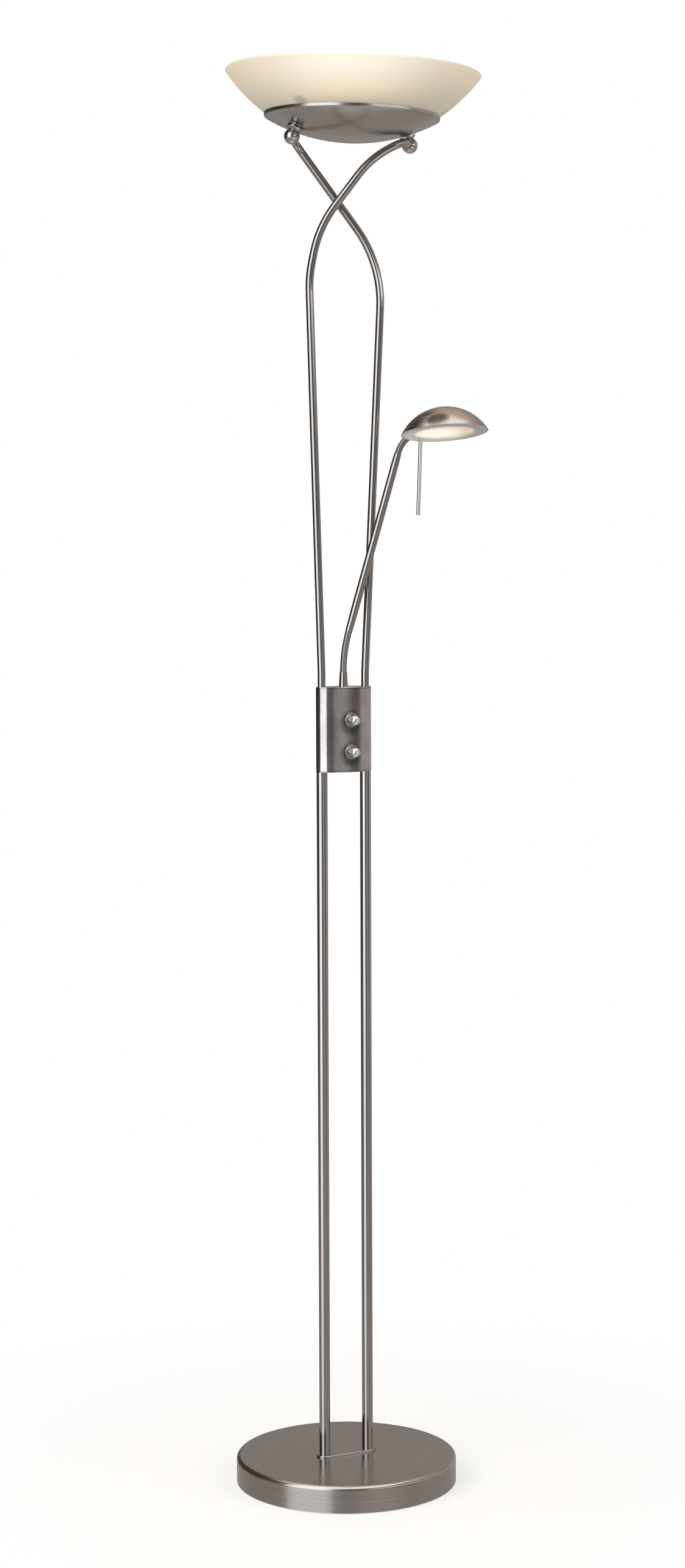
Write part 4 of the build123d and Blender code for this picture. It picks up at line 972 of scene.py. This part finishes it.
print("softbox from", SOFTBOX_COMPASS[0], "to", SOFTBOX_COMPASS[1], "degrees")

# %% [markdown]
# ## From a direction to a tone
# The walls are a colour ramp over the compass. Each further thing is mixed over what is there
# already, in the order in which the things stand in front of each other.

# %% The room in each direction
STUDIO_STRENGTH = 2.4


def tone(colour):
    """A studio tone, divided by the strength that the world multiplies it with."""
    return tuple(value / STUDIO_STRENGTH for value in colour)


def room_walls(recipe, compass, height):
    """The ring of walls, the gap in front and the floor below."""
    stops = [((angle + 180) / 360, tone(colour)) for angle, colour in WALL_TONES]
    walls = recipe.add("ShaderNodeValToRGB", {"stops": stops}, {0: compass / 360 + 0.5})
    gap = compass.within(*GAP_COMPASS) * height.smooth(*GAP_RISE)
    walls = recipe.blend(gap * GAP_SHARE, walls, tone(GAP_TONE))
    walls = recipe.blend((-height).smooth(*FLOOR_FALL), walls, tone(FLOOR_TONE))
    return recipe.blend((-height).smooth(*FOOT_FALL), walls, tone(FOOT_TONE))


def room_behind(recipe, walls, compass, height):
    """The upper part of the room's back: wall, tan, cloth and ceiling."""
    back = recipe.blend(height.smooth(*BACK_RISE), walls, tone(BACK_TONE))
    back = recipe.blend(height.smooth(*TAN_RISE), back, tone(TAN_TONE))
    cloth = compass.within(*CLOTH_COMPASS) * height.within(*CLOTH_HEIGHT)
    back = recipe.blend(cloth * CLOTH_SHARE, back, tone(CLOTH_TONE))
    return recipe.blend(height.smooth(*CEILING_RISE), back, tone(CEILING_TONE))


def studio_room(recipe):
    """Tone of the studio in each direction."""
    direction = recipe.add("ShaderNodeTexCoord", output=0)
    across = recipe.vector("DOT_PRODUCT", direction, level_right, output=1)
    toward = recipe.vector("DOT_PRODUCT", direction, -level_forward, output=1)
    height = recipe.height(direction)
    turn = recipe.add("ShaderNodeMath", {"operation": "ARCTAN2"}, {0: across, 1: toward})
    compass = turn * (180 / pi)
    side = recipe.add("ShaderNodeMath", {"operation": "ABSOLUTE"}, {0: compass})

    walls = room_walls(recipe, compass, height)
    back = room_behind(recipe, walls, compass, height)
    edge = side.smooth(*FRONT_EDGE_SIDES) * FRONT_EDGE_RISE + FRONT_EDGE
    front = recipe.blend((height - edge).smooth(0.0, FRONT_SOFT), walls, tone(FRONT_TONE))
    room = recipe.blend(side.smooth(*BACK_SIDES), front, back)

    softbox = compass.within(*SOFTBOX_COMPASS) * height.smooth(*SOFTBOX_FOOT)
    softbox = softbox * (1 - height.smooth(*SOFTBOX_TOP))
    card = compass.within(*CARD_COMPASS) * height.within(*CARD_HEIGHT)
    low_card = compass.within(*LOW_CARD_COMPASS) * height.within(*LOW_CARD_HEIGHT)
    room = recipe.blend(softbox, room, tone(SOFTBOX_TONE))
    room = recipe.blend(card, room, tone(CARD_TONE))
    return recipe.blend(low_card * LOW_CARD_SHARE, room, tone(LOW_CARD_TONE))


print("studio strength", STUDIO_STRENGTH)

# %% [markdown]
# ## The world
# A world shader can tell which kind of ray is looking. A mirror's rays get the studio, the camera's
# rays and rays through glass get plain white, and all others get an even grey that lights the matt
# pieces. So the background, the mirror images and the light can each be set without the others.

# %% World
AMBIENT = (0.50, 0.49, 0.48)


def studio_world():
    """Studio for a mirror's rays, white for the camera's, even grey for all others."""
    world = bpy.data.worlds.new("studio")
    world.use_nodes = True
    recipe = Recipe(world.node_tree)
    sockets = {"Color": studio_room(recipe), "Strength": STUDIO_STRENGTH}
    studio = recipe.add("ShaderNodeBackground", {}, sockets)
    plain = recipe.add("ShaderNodeBackground", {}, {"Color": AMBIENT, "Strength": 1.0})
    white = recipe.add("ShaderNodeBackground", {}, {"Color": WHITE, "Strength": 1.0})
    seen, glossy = recipe.ray_masks()
    lit = recipe.add("ShaderNodeMixShader", {}, {0: glossy, 1: plain, 2: studio})
    shown = recipe.add("ShaderNodeMixShader", {}, {0: seen, 1: lit, 2: white})
    recipe.add("ShaderNodeOutputWorld", {}, {"Surface": shown})
    return world


scene.world = studio_world()
print("world", scene.world.name)

# %% [markdown]
# ## Soft lamps
# Two large square lamps shade the matt pieces, such as the glass: a key from the front left and a
# weaker fill from the right. Metal doesn't mirror them, since the studio tones do that already.

# %% Soft lamps
LAMP_SIZE = 2.4
LAMP_TARGET = Vector((0, 0, 0.9))


def soft_lamp(name, nearer, right, height, power):
    """A square area light, so far nearer the camera and to the right, aimed at the floor lamp."""
    place = -level_forward * nearer + level_right * right + Vector((0, 0, height))
    data = bpy.data.lights.new(name, "AREA")
    data.size = LAMP_SIZE
    data.energy = power
    lamp = bpy.data.objects.new(name, data)
    lamp.location = place
    lamp.rotation_euler = (LAMP_TARGET - place).to_track_quat("-Z", "Y").to_euler()
    lamp.visible_glossy = False
    scene.collection.objects.link(lamp)
    print(name, "at", [round(value, 2) for value in place], "watts", power)


soft_lamp("key_lamp", nearer=2.2, right=-2.2, height=2.6, power=70)
soft_lamp("fill_lamp", nearer=1.6, right=2.6, height=1.8, power=25)
scene.view_settings.view_transform = "Standard"
